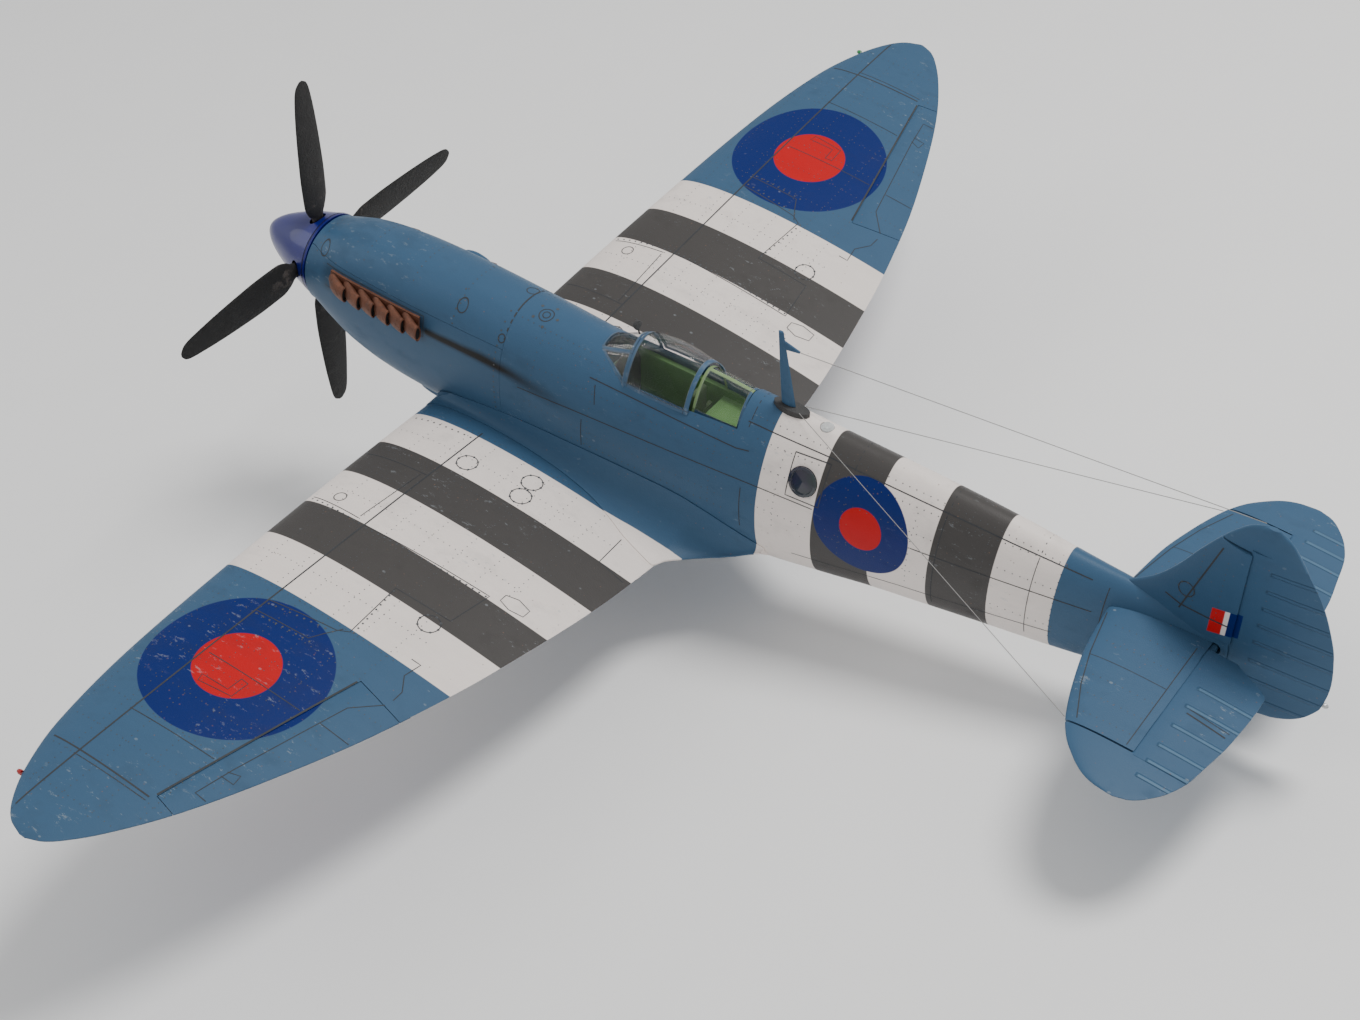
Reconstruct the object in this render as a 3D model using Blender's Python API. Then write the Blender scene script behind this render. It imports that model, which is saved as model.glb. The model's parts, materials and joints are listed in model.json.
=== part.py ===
"""RC warbird: a 1.4 m electric model of an elliptical-wing reconnaissance fighter.

The airframe is laid out as on a full-size drawing: x to port, y aft from the spinner's tip,
z up from the thrust line, in full-size metres. SCALE turns that drawing into the model, and
the airframe empty carries the whole model in the tail-down attitude it stands in.
"""
import math

import bmesh
import bpy
from mathutils import Matrix, Vector

# ---------------------------------------------------------------- driving dimensions
SCALE = 0.1232                      # model metres per full-size metre, about 1:8.1
PITCH = math.radians(13.0)          # nose-up angle of the model at rest on its wheels
GAP = 0.0003 / SCALE                # 0.3 mm between touching pieces, at full size
SLOT = 0.0007 / SCALE               # clearance at the ends of a moving surface
SKIN = 0.0035 / SCALE               # wall of the moulded fuselage shells
CLEAR_SKIN = 0.0010 / SCALE         # wall of the clear canopy pieces

HALF_SPAN = 5.67
DIHEDRAL = math.tan(math.radians(5.9))
WING_ROOT = 0.47                    # the wing panels' root ribs
WING_ROOT_HEIGHT = -0.665           # chord plane on the centre line
SPAR = dict(y=3.12, z=-0.60, radius=0.034, reach=1.40)

PROP_Y = 0.573
HUB_Z = 0.022                       # the propeller's axis above the datum line
PROP_RADIUS = 1.665
SPINNER_RADIUS = 0.362
SPINNER_BACK = 0.70
COWL_FRONT = 0.715
COWL_BACK = 2.80
COWL_SPLIT = 0.30                   # height of the joint between top hatch and lower cowl

AILERON = dict(inner=(3.25, 3.781), outer=(4.894, 3.443))
FLAP = dict(inner=(0.98, 4.10), outer=(3.18, 3.80))
FLAP_THICK = 0.020
RADIATOR_BACK = 3.99                # the ducts stop ahead of the flaps' hinge lines
TAIL_HEIGHT = 0.405                 # mean plane of the tailplane
ELEVATOR_HINGE = 8.72
ELEVATOR_HORN = 1.215
RUDDER_HINGE = 8.84
RUDDER_HORN = 1.365
RUDDER_LIP = 0.018                  # the fin's rear lips end this far ahead of the hinge

GEAR_PIVOT = Vector((0.78, 2.70, -0.690))
GEAR_SPLAY = math.radians(4.6)      # the leg leans out by this much when it is down
GEAR_STOWED = math.radians(5.9)     # and lies along the wing's dihedral when it is up
LEG_LENGTH = 0.98
WHEEL_RADIUS = 0.300
WHEEL_WIDTH = 0.120
TREAD_SHARE = 0.25                  # flat part of the tread, of the half width
WHEEL_OFFSET = 0.105                # outboard of the leg's axis
WHEEL_SWEEP = -0.02                 # the axle lies this far aft of the pivot
AXLE_REACH = LEG_LENGTH - 0.01
TAIL_WHEEL_RADIUS = 0.120
TAIL_PINTLE_Y = 8.02
TAIL_WHEEL_Y = 8.15

CHIN_BACK = 2.10                    # the intake runs on under the belly fairing from here
BELLY_ROOF = -0.560
EXHAUST_FIRST = 1.10
EXHAUST_STEP = 0.158
EXHAUST_HEIGHT = 0.165
GLASS_POWER = 2 / 1.85              # roundness of the canopy's sections
HOOD_FOOT = 0.438
TUB_TOP = 0.355
CAMERA = dict(y=5.54, z=0.355)
CAMERA_RADIUS = 0.118
LIGHT_Y = 5.55
MAST_Y = 5.22
WIRE_SPAN = 1.185                   # the tail wires end just inboard of the elevator's horns

SIDES = (("left", 1), ("right", -1))


def model(length):
    """A length given in model millimetres, at full size."""
    return length / 1000 / SCALE


FILLET_LIFT = model(0.9)            # how far the fairing's edge stands proud of the wing
WIRE_RADIUS = model(0.35)


# ---------------------------------------------------------------- curves and sections
def smooth(points):
    """Monotone cubic curve through (position, value) pairs, held flat past its ends."""
    xs = [p[0] for p in points]
    ys = [p[1] for p in points]
    rise = [(ys[i + 1] - ys[i]) / (xs[i + 1] - xs[i]) for i in range(len(xs) - 1)]
    slope = [rise[0]]
    for a, b in zip(rise, rise[1:]):
        slope.append(2 * a * b / (a + b) if a * b > 0 else 0.0)
    slope.append(rise[-1])

    def value(x):
        if x <= xs[0]:
            return ys[0]
        if x >= xs[-1]:
            return ys[-1]
        i = max(k for k in range(len(xs) - 1) if xs[k] <= x)
        h = xs[i + 1] - xs[i]
        t = (x - xs[i]) / h
        return (ys[i] * (1 + 2 * t) * (1 - t) ** 2 + slope[i] * h * t * (1 - t) ** 2
                + ys[i + 1] * t * t * (3 - 2 * t) + slope[i + 1] * h * t * t * (t - 1))
    return value


def column(table, index):
    return smooth([(row[0], row[index]) for row in table])


# station, half width, height of the widest level, top, bottom, roundness above and below
HULL = [
    (0.74, 0.365, 0.01, 0.375, -0.375, 2.1, 2.1),
    (0.90, 0.375, 0.00, 0.430, -0.530, 2.3, 2.2),
    (1.10, 0.390, 0.00, 0.492, -0.650, 2.4, 2.3),
    (1.40, 0.400, -0.02, 0.540, -0.730, 2.5, 2.4),
    (1.70, 0.410, -0.03, 0.562, -0.752, 2.5, 2.5),
    (2.20, 0.422, -0.05, 0.572, -0.757, 2.4, 2.6),
    (2.80, 0.432, -0.07, 0.565, -0.757, 2.2, 2.7),
    (3.40, 0.435, -0.09, 0.558, -0.757, 1.95, 2.7),
    (3.90, 0.430, -0.10, 0.600, -0.757, 1.80, 2.7),
    (4.40, 0.422, -0.10, 0.660, -0.765, 1.70, 2.6),
    (4.90, 0.402, -0.08, 0.703, -0.780, 1.65, 2.4),
    (5.20, 0.382, -0.05, 0.703, -0.755, 1.70, 2.3),
    (5.67, 0.360, -0.03, 0.695, -0.660, 1.74, 2.2),
    (6.15, 0.333, 0.00, 0.685, -0.545, 1.82, 2.2),
    (6.63, 0.304, 0.05, 0.674, -0.460, 1.87, 2.2),
    (7.10, 0.265, 0.10, 0.657, -0.385, 1.92, 2.2),
    (7.58, 0.220, 0.14, 0.628, -0.312, 1.92, 2.2),
    (8.00, 0.172, 0.18, 0.608, -0.238, 1.92, 2.2),
    (8.40, 0.118, 0.21, 0.602, -0.158, 1.90, 2.2),
    (8.825, 0.064, 0.25, 0.600, -0.062, 1.90, 2.2),
]
hull_width, hull_mid, hull_top, hull_bottom, hull_upper, hull_lower = (
    column(HULL, k) for k in range(1, 7))


def hull_point(y, turn, inset=0.0):
    """Point of the fuselage section at station y; turn 0 is port, a quarter turn is up."""
    c, s = math.cos(turn), math.sin(turn)
    power = 2 / (hull_upper(y) if s >= 0 else hull_lower(y))
    height = (hull_top(y) - hull_mid(y) if s >= 0 else hull_mid(y) - hull_bottom(y)) - inset
    width = hull_width(y) - inset
    return Vector((math.copysign(width * abs(c) ** power, c), y,
                   hull_mid(y) + math.copysign(height * abs(s) ** power, s)))


def hull_turn(y, z, inset=0.0):
    """The turn at which the port side of the section passes height z."""
    over = z >= hull_mid(y)
    height = (hull_top(y) - hull_mid(y) if over else hull_mid(y) - hull_bottom(y)) - inset
    power = 2 / (hull_upper(y) if over else hull_lower(y))
    share = min(1.0, abs(z - hull_mid(y)) / height)
    return math.copysign(math.asin(share ** (1 / power)), z - hull_mid(y))


def hull_surface(y, x):
    """Height of the fuselage's upper surface at station y and distance x off the centre."""
    power = 2 / hull_upper(y)
    c = min(1.0, abs(x) / hull_width(y)) ** (1 / power)
    return hull_mid(y) + (hull_top(y) - hull_mid(y)) * math.sqrt(1 - c * c) ** power


def hull_ring(y, inset=0.0, count=28):
    return [hull_point(y, math.tau * (k + 0.5) / count, inset) for k in range(count)]


def arc_shell_ring(y, start, end, wall, count=12):
    """Closed section of a curved shell that follows the fuselage from one turn to another."""
    turns = [start + (end - start) * k / count for k in range(count + 1)]
    outer = [hull_point(y, t) for t in turns]
    inner = [hull_point(y, t, wall) for t in turns]
    return outer + inner[::-1]


# ---------------------------------------------------------------- aerofoil surfaces
class Surface:
    """A wing or tail surface given by its plan outline, thickness and mean height."""

    def __init__(self, lead, trail, thick, mean, camber=0.0, edge=0.008):
        self.lead, self.trail, self.thick, self.mean = lead, trail, thick, mean
        self.camber, self.edge = camber, edge

    def heights(self, s, y):
        chord = self.trail(s) - self.lead(s)
        c = min(1.0, max(0.0, (y - self.lead(s)) / chord))
        half = 5 * self.thick(s) * chord * (
            0.2969 * math.sqrt(c) - 0.126 * c - 0.3516 * c ** 2 + 0.2843 * c ** 3
            - 0.1036 * c ** 4) + 0.5 * self.edge * c
        bow = self.camber * chord * 4 * c * (1 - c)
        middle = self.mean(s, y) + bow
        return middle + half, middle - half

    def ring(self, s, count=10):
        """Closed section at span s, from the trailing edge over the top and back below."""
        lead, trail = self.lead(s), self.trail(s)
        upper, lower = [], []
        for k in range(count + 1):
            y = lead + (trail - lead) * (1 - math.cos(math.pi * k / count)) / 2
            top, bottom = self.heights(s, y)
            upper.append(Vector((s, y, top)))
            lower.append(Vector((s, y, bottom)))
        return upper[::-1] + lower[1:]


WING = Surface(
    lead=smooth([(0.0, 2.030), (1.5, 2.083), (2.93, 2.165), (4.0, 2.257), (4.8, 2.395),
                 (5.25, 2.555), (5.50, 2.705), (5.62, 2.830), (HALF_SPAN, 2.960)]),
    trail=smooth([(0.0, 4.610), (1.2, 4.570), (2.5, 4.395), (3.5, 4.160), (4.3, 3.885),
                  (4.9, 3.630), (5.3, 3.400), (5.50, 3.250), (5.62, 3.125), (HALF_SPAN, 3.010)]),
    thick=smooth([(0.0, 0.126), (HALF_SPAN, 0.085)]),
    mean=lambda s, y: WING_ROOT_HEIGHT + DIHEDRAL * s
    - 0.033 * (1 - s / HALF_SPAN) * (y - 2.0 - 0.03 * s),
    camber=0.012, edge=0.010)

TAILPLANE = Surface(
    lead=smooth([(0.0, 7.947), (0.55, 8.007), (0.83, 8.074), (1.17, 8.190), (1.33, 8.280),
                 (1.44, 8.382), (1.53, 8.494), (1.575, 8.602), (1.590, 8.702)]),
    trail=smooth([(0.0, 8.780), (0.125, 8.930), (0.285, 9.205), (0.40, 9.208), (0.77, 9.187),
                  (1.03, 9.144), (1.22, 9.107), (1.37, 9.042), (1.47, 8.967), (1.56, 8.862),
                  (1.590, 8.762)]),
    thick=lambda s: 0.095 - 0.015 * s,
    mean=lambda s, y: TAIL_HEIGHT)

FIN = Surface(
    lead=smooth([(0.45, 7.84), (0.60, 8.010), (0.70, 8.135), (0.79, 8.224), (0.96, 8.343),
                 (1.16, 8.455), (1.34, 8.567), (1.49, 8.680), (1.57, 8.765), (1.610, 8.860)]),
    trail=smooth([(-0.065, 9.080), (-0.045, 9.190), (0.06, 9.375), (0.155, 9.455),
                  (0.27, 9.512), (0.47, 9.533), (0.74, 9.500), (0.98, 9.419), (1.19, 9.315),
                  (1.32, 9.222), (1.46, 9.122), (1.55, 9.045), (1.610, 8.950)]),
    thick=lambda s: 0.080,
    mean=lambda s, y: 0.0)


def to_port(p):
    return Vector((p[0], p[1], p[2]))


def to_starboard(p):
    return Vector((-p[0], p[1], p[2]))


class Hinged:
    """The moving rear part of a surface, behind a hinge line from one point to another."""

    def __init__(self, surface, inner, outer):
        self.surface = surface
        self.inner, self.outer = Vector(inner), Vector(outer)
        self.span = (self.outer - self.inner).length
        along = (self.outer - self.inner) / self.span
        self.aft = Vector((-along.y, along.x))

    def at(self, share, distance=0.0):
        return self.inner.lerp(self.outer, share) + self.aft * distance

    def axis_point(self, share):
        p = self.at(share)
        top, bottom = self.surface.heights(p.x, p.y)
        return Vector((p.x, p.y, (top + bottom) / 2))

    def depth(self, share):
        near, far = 0.0, 1.2
        for _ in range(30):
            middle = (near + far) / 2
            p = self.at(share, middle)
            if p.y < self.surface.trail(p.x):
                near = middle
            else:
                far = middle
        return near

    def nose(self, share, swell):
        """Round nose about the hinge, from above it forwards to below it."""
        p = self.at(share)
        top, bottom = self.surface.heights(p.x, p.y)
        radius = (top - bottom) / 2 + swell
        points = []
        for k in range(7):
            turn = math.pi * k / 6
            q = self.at(share, -radius * math.sin(turn))
            points.append(Vector((q.x, q.y, (top + bottom) / 2 + radius * math.cos(turn))))
        return points

    def moving_ring(self, share):
        depth = self.depth(share)
        upper, lower = [], []
        for f in (0.35, 0.7, 1.0):
            p = self.at(share, depth * f)
            top, bottom = self.surface.heights(p.x, p.y)
            upper.append(Vector((p.x, p.y, top)))
            lower.append(Vector((p.x, p.y, bottom)))
        return upper[::-1] + self.nose(share, -0.5 * GAP) + lower

    def pocket_ring(self, share, tall=0.25):
        """The room that the moving part needs in the fixed one."""
        far = self.at(share, self.depth(min(1.0, max(0.0, share))) + tall)
        near = self.at(share)
        top, bottom = self.surface.heights(near.x, near.y)
        return [Vector((near.x, near.y, top + tall))] + self.nose(share, 1.5 * GAP) + [
            Vector((near.x, near.y, bottom - tall)), Vector((far.x, far.y, bottom - tall)),
            Vector((far.x, far.y, top + tall))]

    def square(self, share, ring):
        """Lean an upright section until it stands square to the hinge's axis."""
        slope = (self.axis_point(1.0).z - self.axis_point(0.0).z) / self.span
        along = (self.outer - self.inner) / self.span
        level = self.axis_point(share).z
        return [p + Vector((along.x, along.y, 0)) * (level - p.z) * slope for p in ring]

    def moving(self, stations=5, place=to_port):
        shares = [k / (stations - 1) for k in range(stations)]
        return loft([[place(p) for p in self.square(t, self.moving_ring(t))] for t in shares])

    def pocket(self, stations=5, place=to_port):
        extra = SLOT / self.span
        shares = [-extra + (1 + 2 * extra) * k / (stations - 1) for k in range(stations)]
        return loft([[place(p) for p in self.square(t, self.pocket_ring(t))] for t in shares])


# ---------------------------------------------------------------- mesh building
def loft(rings, closed=False):
    """Solid through rings of equal count, capped at both ends or closed on itself."""
    bm = bmesh.new()
    rows = [[bm.verts.new(p) for p in ring] for ring in rings]
    pairs = list(zip(rows, rows[1:]))
    if closed:
        pairs.append((rows[-1], rows[0]))
    for a, b in pairs:
        for i in range(len(a)):
            j = (i + 1) % len(a)
            bm.faces.new((a[i], a[j], b[j], b[i]))
    if not closed:
        bm.faces.new(rows[0][::-1])
        bm.faces.new(rows[-1])
    bmesh.ops.recalc_face_normals(bm, faces=bm.faces)
    return bm


def box(x, y, z):
    low, high = Vector((x[0], y[0], z[0])), Vector((x[1], y[1], z[1]))
    bm = bmesh.new()
    bmesh.ops.create_cube(bm, size=1.0)
    size = high - low
    bmesh.ops.transform(bm, matrix=Matrix.Translation((low + high) / 2)
                        @ Matrix.Diagonal((size.x, size.y, size.z, 1.0)), verts=bm.verts)
    return bm


def soften(bm, width, segments=1):
    bmesh.ops.bevel(bm, geom=bm.edges[:], offset=width, segments=segments, affect="EDGES",
                    clamp_overlap=True)
    return bm


def circle(centre, axis, radius, count, phase=0.5):
    axis = Vector(axis).normalized()
    side = axis.orthogonal().normalized()
    across = axis.cross(side)
    return [Vector(centre) + radius * (side * math.cos(math.tau * (k + phase) / count)
                                       + across * math.sin(math.tau * (k + phase) / count))
            for k in range(count)]


def rod(start, end, radius, count=12, end_radius=None):
    start, end = Vector(start), Vector(end)
    last = radius if end_radius is None else end_radius
    return loft([circle(start, end - start, radius, count),
                 circle(end, end - start, last, count)])


def turned(centre, axis, profile, count=24):
    """Ring-shaped or solid turned part; the profile is a closed loop of (radius, along)."""
    axis = Vector(axis).normalized()
    side = axis.orthogonal().normalized()
    across = axis.cross(side)
    bm = bmesh.new()
    columns = []
    for k in range(count):
        turn = math.tau * k / count
        out = side * math.cos(turn) + across * math.sin(turn)
        columns.append([bm.verts.new(Vector(centre) + out * r + axis * h) for r, h in profile])
    for a, b in zip(columns, columns[1:] + columns[:1]):
        for i in range(len(profile)):
            j = (i + 1) % len(profile)
            bm.faces.new((a[i], b[i], b[j], a[j]))
    bmesh.ops.remove_doubles(bm, verts=bm.verts, dist=1e-6)
    bmesh.ops.dissolve_degenerate(bm, edges=bm.edges, dist=1e-7)
    bmesh.ops.recalc_face_normals(bm, faces=bm.faces)
    return bm


def capped_turn(centre, axis, profile, count=24):
    """Solid turned part whose open profile starts and ends on the axis."""
    axis = Vector(axis).normalized()
    rings = [circle(Vector(centre) + axis * h, axis, r, count) for r, h in profile if r > 0]
    bm = bmesh.new()
    rows = [[bm.verts.new(p) for p in ring] for ring in rings]
    for a, b in zip(rows, rows[1:]):
        for i in range(count):
            j = (i + 1) % count
            bm.faces.new((a[i], a[j], b[j], b[i]))
    for row, (r, h) in ((rows[0], profile[0]), (rows[-1], profile[-1])):
        if r > 0:
            bm.faces.new(row)
            continue
        tip = bm.verts.new(Vector(centre) + axis * h)
        for i in range(count):
            bm.faces.new((row[i], row[(i + 1) % count], tip))
    bmesh.ops.recalc_face_normals(bm, faces=bm.faces)
    return bm


def prism(outline, start, end, place):
    """Plan outline of (a, b) pairs swept from one height to another through place(a, b, h)."""
    return loft([[place(a, b, start) for a, b in outline], [place(a, b, end) for a, b in outline]])


def plan(a, b, h):
    return Vector((a, b, h))


# ---------------------------------------------------------------- objects
def clear_scene():
    for item in list(bpy.data.objects):
        bpy.data.objects.remove(item)


def material(name, colour, roughness=0.5, metallic=0.0):
    made = bpy.data.materials.new(name)
    made.use_nodes = True
    shader = made.node_tree.nodes["Principled BSDF"]
    shader.inputs["Base Color"].default_value = (*colour, 1.0)
    shader.inputs["Roughness"].default_value = roughness
    shader.inputs["Metallic"].default_value = metallic
    return made


clear_scene()
BLUE = material("grey_blue_paint", (0.065, 0.145, 0.24), 0.45)
SPINNER_BLUE = material("deep_blue_paint", (0.0, 0.008, 0.16), 0.35)
BLACK = material("black_paint", (0.008, 0.008, 0.008), 0.55)
DARK = material("dark_grey_plastic", (0.05, 0.05, 0.05), 0.5)
COPPER = material("heat_stained_metal", (0.16, 0.07, 0.045), 0.5, 0.6)
GREEN = material("interior_green", (0.10, 0.20, 0.07), 0.6)
CLEAR = material("clear_plastic", (0.75, 0.80, 0.82), 0.08)
STEEL = material("bright_steel", (0.60, 0.61, 0.62), 0.28, 1.0)
RUBBER = material("tyre_rubber", (0.025, 0.025, 0.025), 0.85)
CARBON = material("carbon_tube", (0.02, 0.02, 0.022), 0.4)
RED_LENS = material("red_lens", (0.45, 0.01, 0.01), 0.2)
GREEN_LENS = material("green_lens", (0.01, 0.30, 0.06), 0.2)
BATTERY_WRAP = material("battery_wrap", (0.04, 0.07, 0.20), 0.4)
WIRE = material("pale_wire", (0.45, 0.44, 0.42), 0.5)


def empty(name, parent, position=(0, 0, 0), pitch=0.0):
    made = bpy.data.objects.new(name, None)
    bpy.context.collection.objects.link(made)
    made.parent = parent
    made.location = Vector(position) * SCALE
    made.rotation_euler = (pitch, 0, 0)
    return made


AIRFRAME = empty("airframe", None, pitch=-PITCH)
PIECES = []


def add(name, bm, paint, origin=(0, 0, 0), smooth_angle=35.0):
    """Put a full-size solid on the model as a named piece with its origin at a given point."""
    origin = Vector(origin)
    bmesh.ops.translate(bm, verts=bm.verts, vec=-origin)
    bmesh.ops.scale(bm, vec=(SCALE,) * 3, verts=bm.verts)
    mesh = bpy.data.meshes.new(name)
    bm.to_mesh(mesh)
    bm.free()
    mesh.materials.append(paint)
    mesh.shade_smooth()
    mesh.set_sharp_from_angle(angle=math.radians(smooth_angle))
    made = bpy.data.objects.new(name, mesh)
    bpy.context.collection.objects.link(made)
    made.parent = AIRFRAME
    made.location = origin * SCALE
    PIECES.append(made)
    return made


def shape(piece, bm, kind="DIFFERENCE", solver="EXACT"):
    """Cut a solid out of a piece, join it on or keep only what both hold."""
    tool = add(f"{piece.name}_{kind.lower()}_{len(piece.modifiers)}", bm, BLUE,
               piece.location / SCALE)
    PIECES.remove(tool)
    tool.hide_render = True
    tool.display_type = "WIRE"
    cut = piece.modifiers.new(kind.title(), "BOOLEAN")
    cut.operation = kind
    cut.solver = solver
    cut.object = tool
    return piece


def join(piece, *solids):
    for bm in solids:
        shape(piece, bm, "UNION")
    return piece


# ---------------------------------------------------------------- fuselage
COCKPIT = [(3.585, 0.110), (3.90, 0.245), (4.45, 0.245), (4.915, 0.228)]
COWL_STATIONS = [COWL_FRONT, 0.80, 0.90, 1.10, 1.40, 1.75, 2.20, COWL_BACK]


def cockpit_outline(grow=0.0):
    port = [(w + grow, y) for y, w in COCKPIT]
    port[0] = (port[0][0], port[0][1] - grow)
    port[-1] = (port[-1][0], port[-1][1] + grow)
    return port + [(-w, y) for w, y in port[::-1]]


def fuselage_blank(start, end, inset=0.0, count=24, steps=20):
    stations = [start + (end - start) * k / steps for k in range(steps + 1)]
    return loft([hull_ring(y, inset, count) for y in stations])


def build_fuselage():
    shell = add("fuselage_shell", fuselage_blank(COWL_BACK + GAP, 8.825, 0.0, 24, 22), BLUE)
    shape(shell, fuselage_blank(COWL_BACK - 0.1, 7.9, SKIN, 20, 12))
    join(shell, box((-0.37, 0.37), (2.86, 3.50), (-0.475, -0.45)))
    shape(shell, prism(cockpit_outline(), -0.05, 1.2, plan))
    spar = rod((-0.6, SPAR["y"], SPAR["z"]), (0.6, SPAR["y"], SPAR["z"]),
               SPAR["radius"] + GAP, 16)
    shape(shell, spar)
    shape(shell, tailplane_blank(grow=GAP))
    shape(shell, rod((-0.3, ELEVATOR_HINGE, TAIL_HEIGHT), (0.3, ELEVATOR_HINGE, TAIL_HEIGHT),
                     0.052, 16))
    shape(shell, rudder_pocket())
    shape(shell, rod((0, TAIL_PINTLE_Y, -0.6), (0, TAIL_PINTLE_Y, 0.02), 0.030 + GAP, 12))
    shape(shell, rod(camera_point(-0.12), camera_point(0.12), CAMERA_RADIUS + GAP, 20))
    shape(shell, rod((0, LIGHT_Y, 0.62), (0, LIGHT_Y, 0.9), 0.052 + GAP, 16))


def build_cowls():
    def lower(y):
        turn = hull_turn(y, COWL_SPLIT - GAP / 2)
        return arc_shell_ring(y, turn, -math.pi - turn, SKIN, 18)

    def upper(y):
        turn = hull_turn(y, COWL_SPLIT + GAP / 2)
        return arc_shell_ring(y, turn, math.pi - turn, SKIN, 14)

    lower_cowl = add("lower_cowl", loft([lower(y) for y in COWL_STATIONS]), BLUE)
    bulkhead = fuselage_blank(1.30, 1.36, SKIN * 0.75, 36, 1)
    shape(lower_cowl, bulkhead_plate(bulkhead), "UNION")
    join(lower_cowl, box((-0.362, 0.362), (1.35, COWL_BACK), (-0.30, -0.27)))
    join(lower_cowl, chin_intake())
    shape(lower_cowl, chin_duct())
    hatch = add("top_hatch", loft([upper(y) for y in COWL_STATIONS]), BLUE)
    join(hatch, blister())


def blister():
    """Small teardrop bulge on the hatch's starboard shoulder."""
    rings = []
    for y, size in ((1.86, 0.010), (1.90, 0.034), (1.98, 0.046), (2.08, 0.036), (2.17, 0.010)):
        centre = hull_point(y, math.pi - hull_turn(y, 0.395)) + Vector((0.012, 0, -0.006))
        rings.append(circle(centre, (0, 1, 0), size, 10))
    return loft(rings)


def bulkhead_plate(bm):
    """Motor bulkhead: the section's plate, kept below the hatch joint."""
    for vert in bm.verts:
        vert.co.z = min(vert.co.z, COWL_SPLIT - 0.02)
    bmesh.ops.remove_doubles(bm, verts=bm.verts, dist=1e-6)
    return bm


def chin_intake():
    stations = [(1.665, 0.125, 0.060), (1.70, 0.150, 0.085), (1.85, 0.160, 0.100),
                (CHIN_BACK, 0.160, 0.100)]
    rings = []
    for y, half, drop in stations:
        low, high = hull_bottom(y) - drop, hull_bottom(y) + 0.045
        rings.append(rounded(half, low, high, y))
    return loft(rings)


def chin_duct():
    return loft([rounded(0.110, -0.825, -0.765, 1.5), rounded(0.110, -0.835, -0.775, 1.74),
                 rounded(0.060, -0.820, -0.795, 2.0)])


def rounded(half, low, high, y, centre=0.0, corner=0.35, count=4):
    """Rounded rectangle across the airframe at station y."""
    radius = corner * min(2 * half, high - low)
    points = []
    for quarter, (sx, sz) in enumerate(((1, 1), (-1, 1), (-1, -1), (1, -1))):
        for k in range(count):
            turn = math.pi / 2 * (quarter + k / (count - 1))
            points.append(Vector((centre + sx * (half - radius) + radius * math.cos(turn), y,
                                  (high - radius if sz > 0 else low + radius)
                                  + radius * math.sin(turn))))
    return points


FILLET = [  # station, inner face, distance out to its edge, that edge's height, top's height
    (2.049, 0.250, 0.484, None, -0.595), (2.080, 0.250, 0.484, None, -0.535),
    (2.112, 0.402, 0.486, None, -0.490), (2.200, 0.400, 0.488, None, -0.435),
    (2.380, 0.390, 0.492, None, -0.390), (2.700, 0.390, 0.500, None, -0.325),
    (3.050, 0.390, 0.512, None, -0.282), (3.440, 0.390, 0.540, None, -0.262),
    (3.790, 0.390, 0.595, None, -0.250), (4.050, 0.390, 0.680, None, -0.245),
    (4.260, 0.380, 0.765, None, -0.245), (4.450, 0.350, 0.815, None, -0.250),
    (4.575, 0.320, 0.840, None, -0.262), (4.635, 0.300, 0.750, -0.628, -0.275),
    (4.720, 0.300, 0.660, -0.636, -0.295), (4.830, 0.300, 0.560, -0.638, -0.325),
    (4.950, 0.290, 0.475, -0.630, -0.365), (5.060, 0.280, 0.415, -0.600, -0.405),
    (5.160, 0.270, 0.378, -0.550, -0.445), (5.250, 0.260, 0.358, -0.505, -0.480),
]


def hull_underside(y, x):
    """Height of the fuselage's lower surface at station y and distance x off the centre."""
    power = 2 / hull_lower(y)
    c = min(1.0, abs(x) / hull_width(y)) ** (1 / power)
    return hull_mid(y) - (hull_mid(y) - hull_bottom(y)) * math.sqrt(1 - c * c) ** power


def fillet_ring(y, inside, foot, foot_z, top_z):
    """Concave sweep between the fuselage's side and the wing's top at station y."""
    if foot_z is None:
        top, bottom = WING.heights(foot, min(y, WING.trail(foot)))
        foot_z, floor = top + FILLET_LIFT, bottom - model(0.3)
    else:
        floor = hull_underside(y, inside) - model(1.5)
    side = hull_point(y, hull_turn(y, top_z)).x + FILLET_LIFT
    start, end = Vector((foot, y, foot_z)), Vector((side, y, top_z))
    corner = Vector((side + 0.04 * (foot - side), y, foot_z + 0.03 * (top_z - foot_z)))
    points = [Vector((inside, y, floor)), Vector((foot, y, foot_z - model(1.8))), start]
    for k in range(1, 9):
        t = k / 8
        points.append(start * (1 - t) ** 2 + corner * 2 * t * (1 - t) + end * t * t)
    points.append(Vector((inside, y, top_z)))
    return points


def build_fillets():
    """Fairings that sweep from the fuselage's side over each wing's root."""
    for side, sign in SIDES:
        place = to_port if sign > 0 else to_starboard
        fillet = add(f"wing_fillet_{side}",
                     loft([[place(p) for p in fillet_ring(*row)] for row in FILLET]), BLUE)
        room = loft([[place(p) for p in ring] for ring in wing_root_room()])
        for solid in (fuselage_blank(1.6, 5.8, -GAP, 24, 24), room, belly_blank(GAP)):
            shape(fillet, solid, solver="MANIFOLD")


def wing_root_room():
    """The wing's inner end, swollen by the fitting gap."""
    rings = []
    for s in (WING_ROOT - 0.012, WING_ROOT, 0.8, 1.3):
        ring = WING.ring(s)
        count = len(ring)
        swollen = []
        for k, p in enumerate(ring):
            along = ring[(k + 1) % count] - ring[k - 1]
            out = Vector((0, -along.z, along.y)).normalized()
            swollen.append(p - out * GAP * 1.2)
        rings.append(swollen)
    return rings


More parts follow.
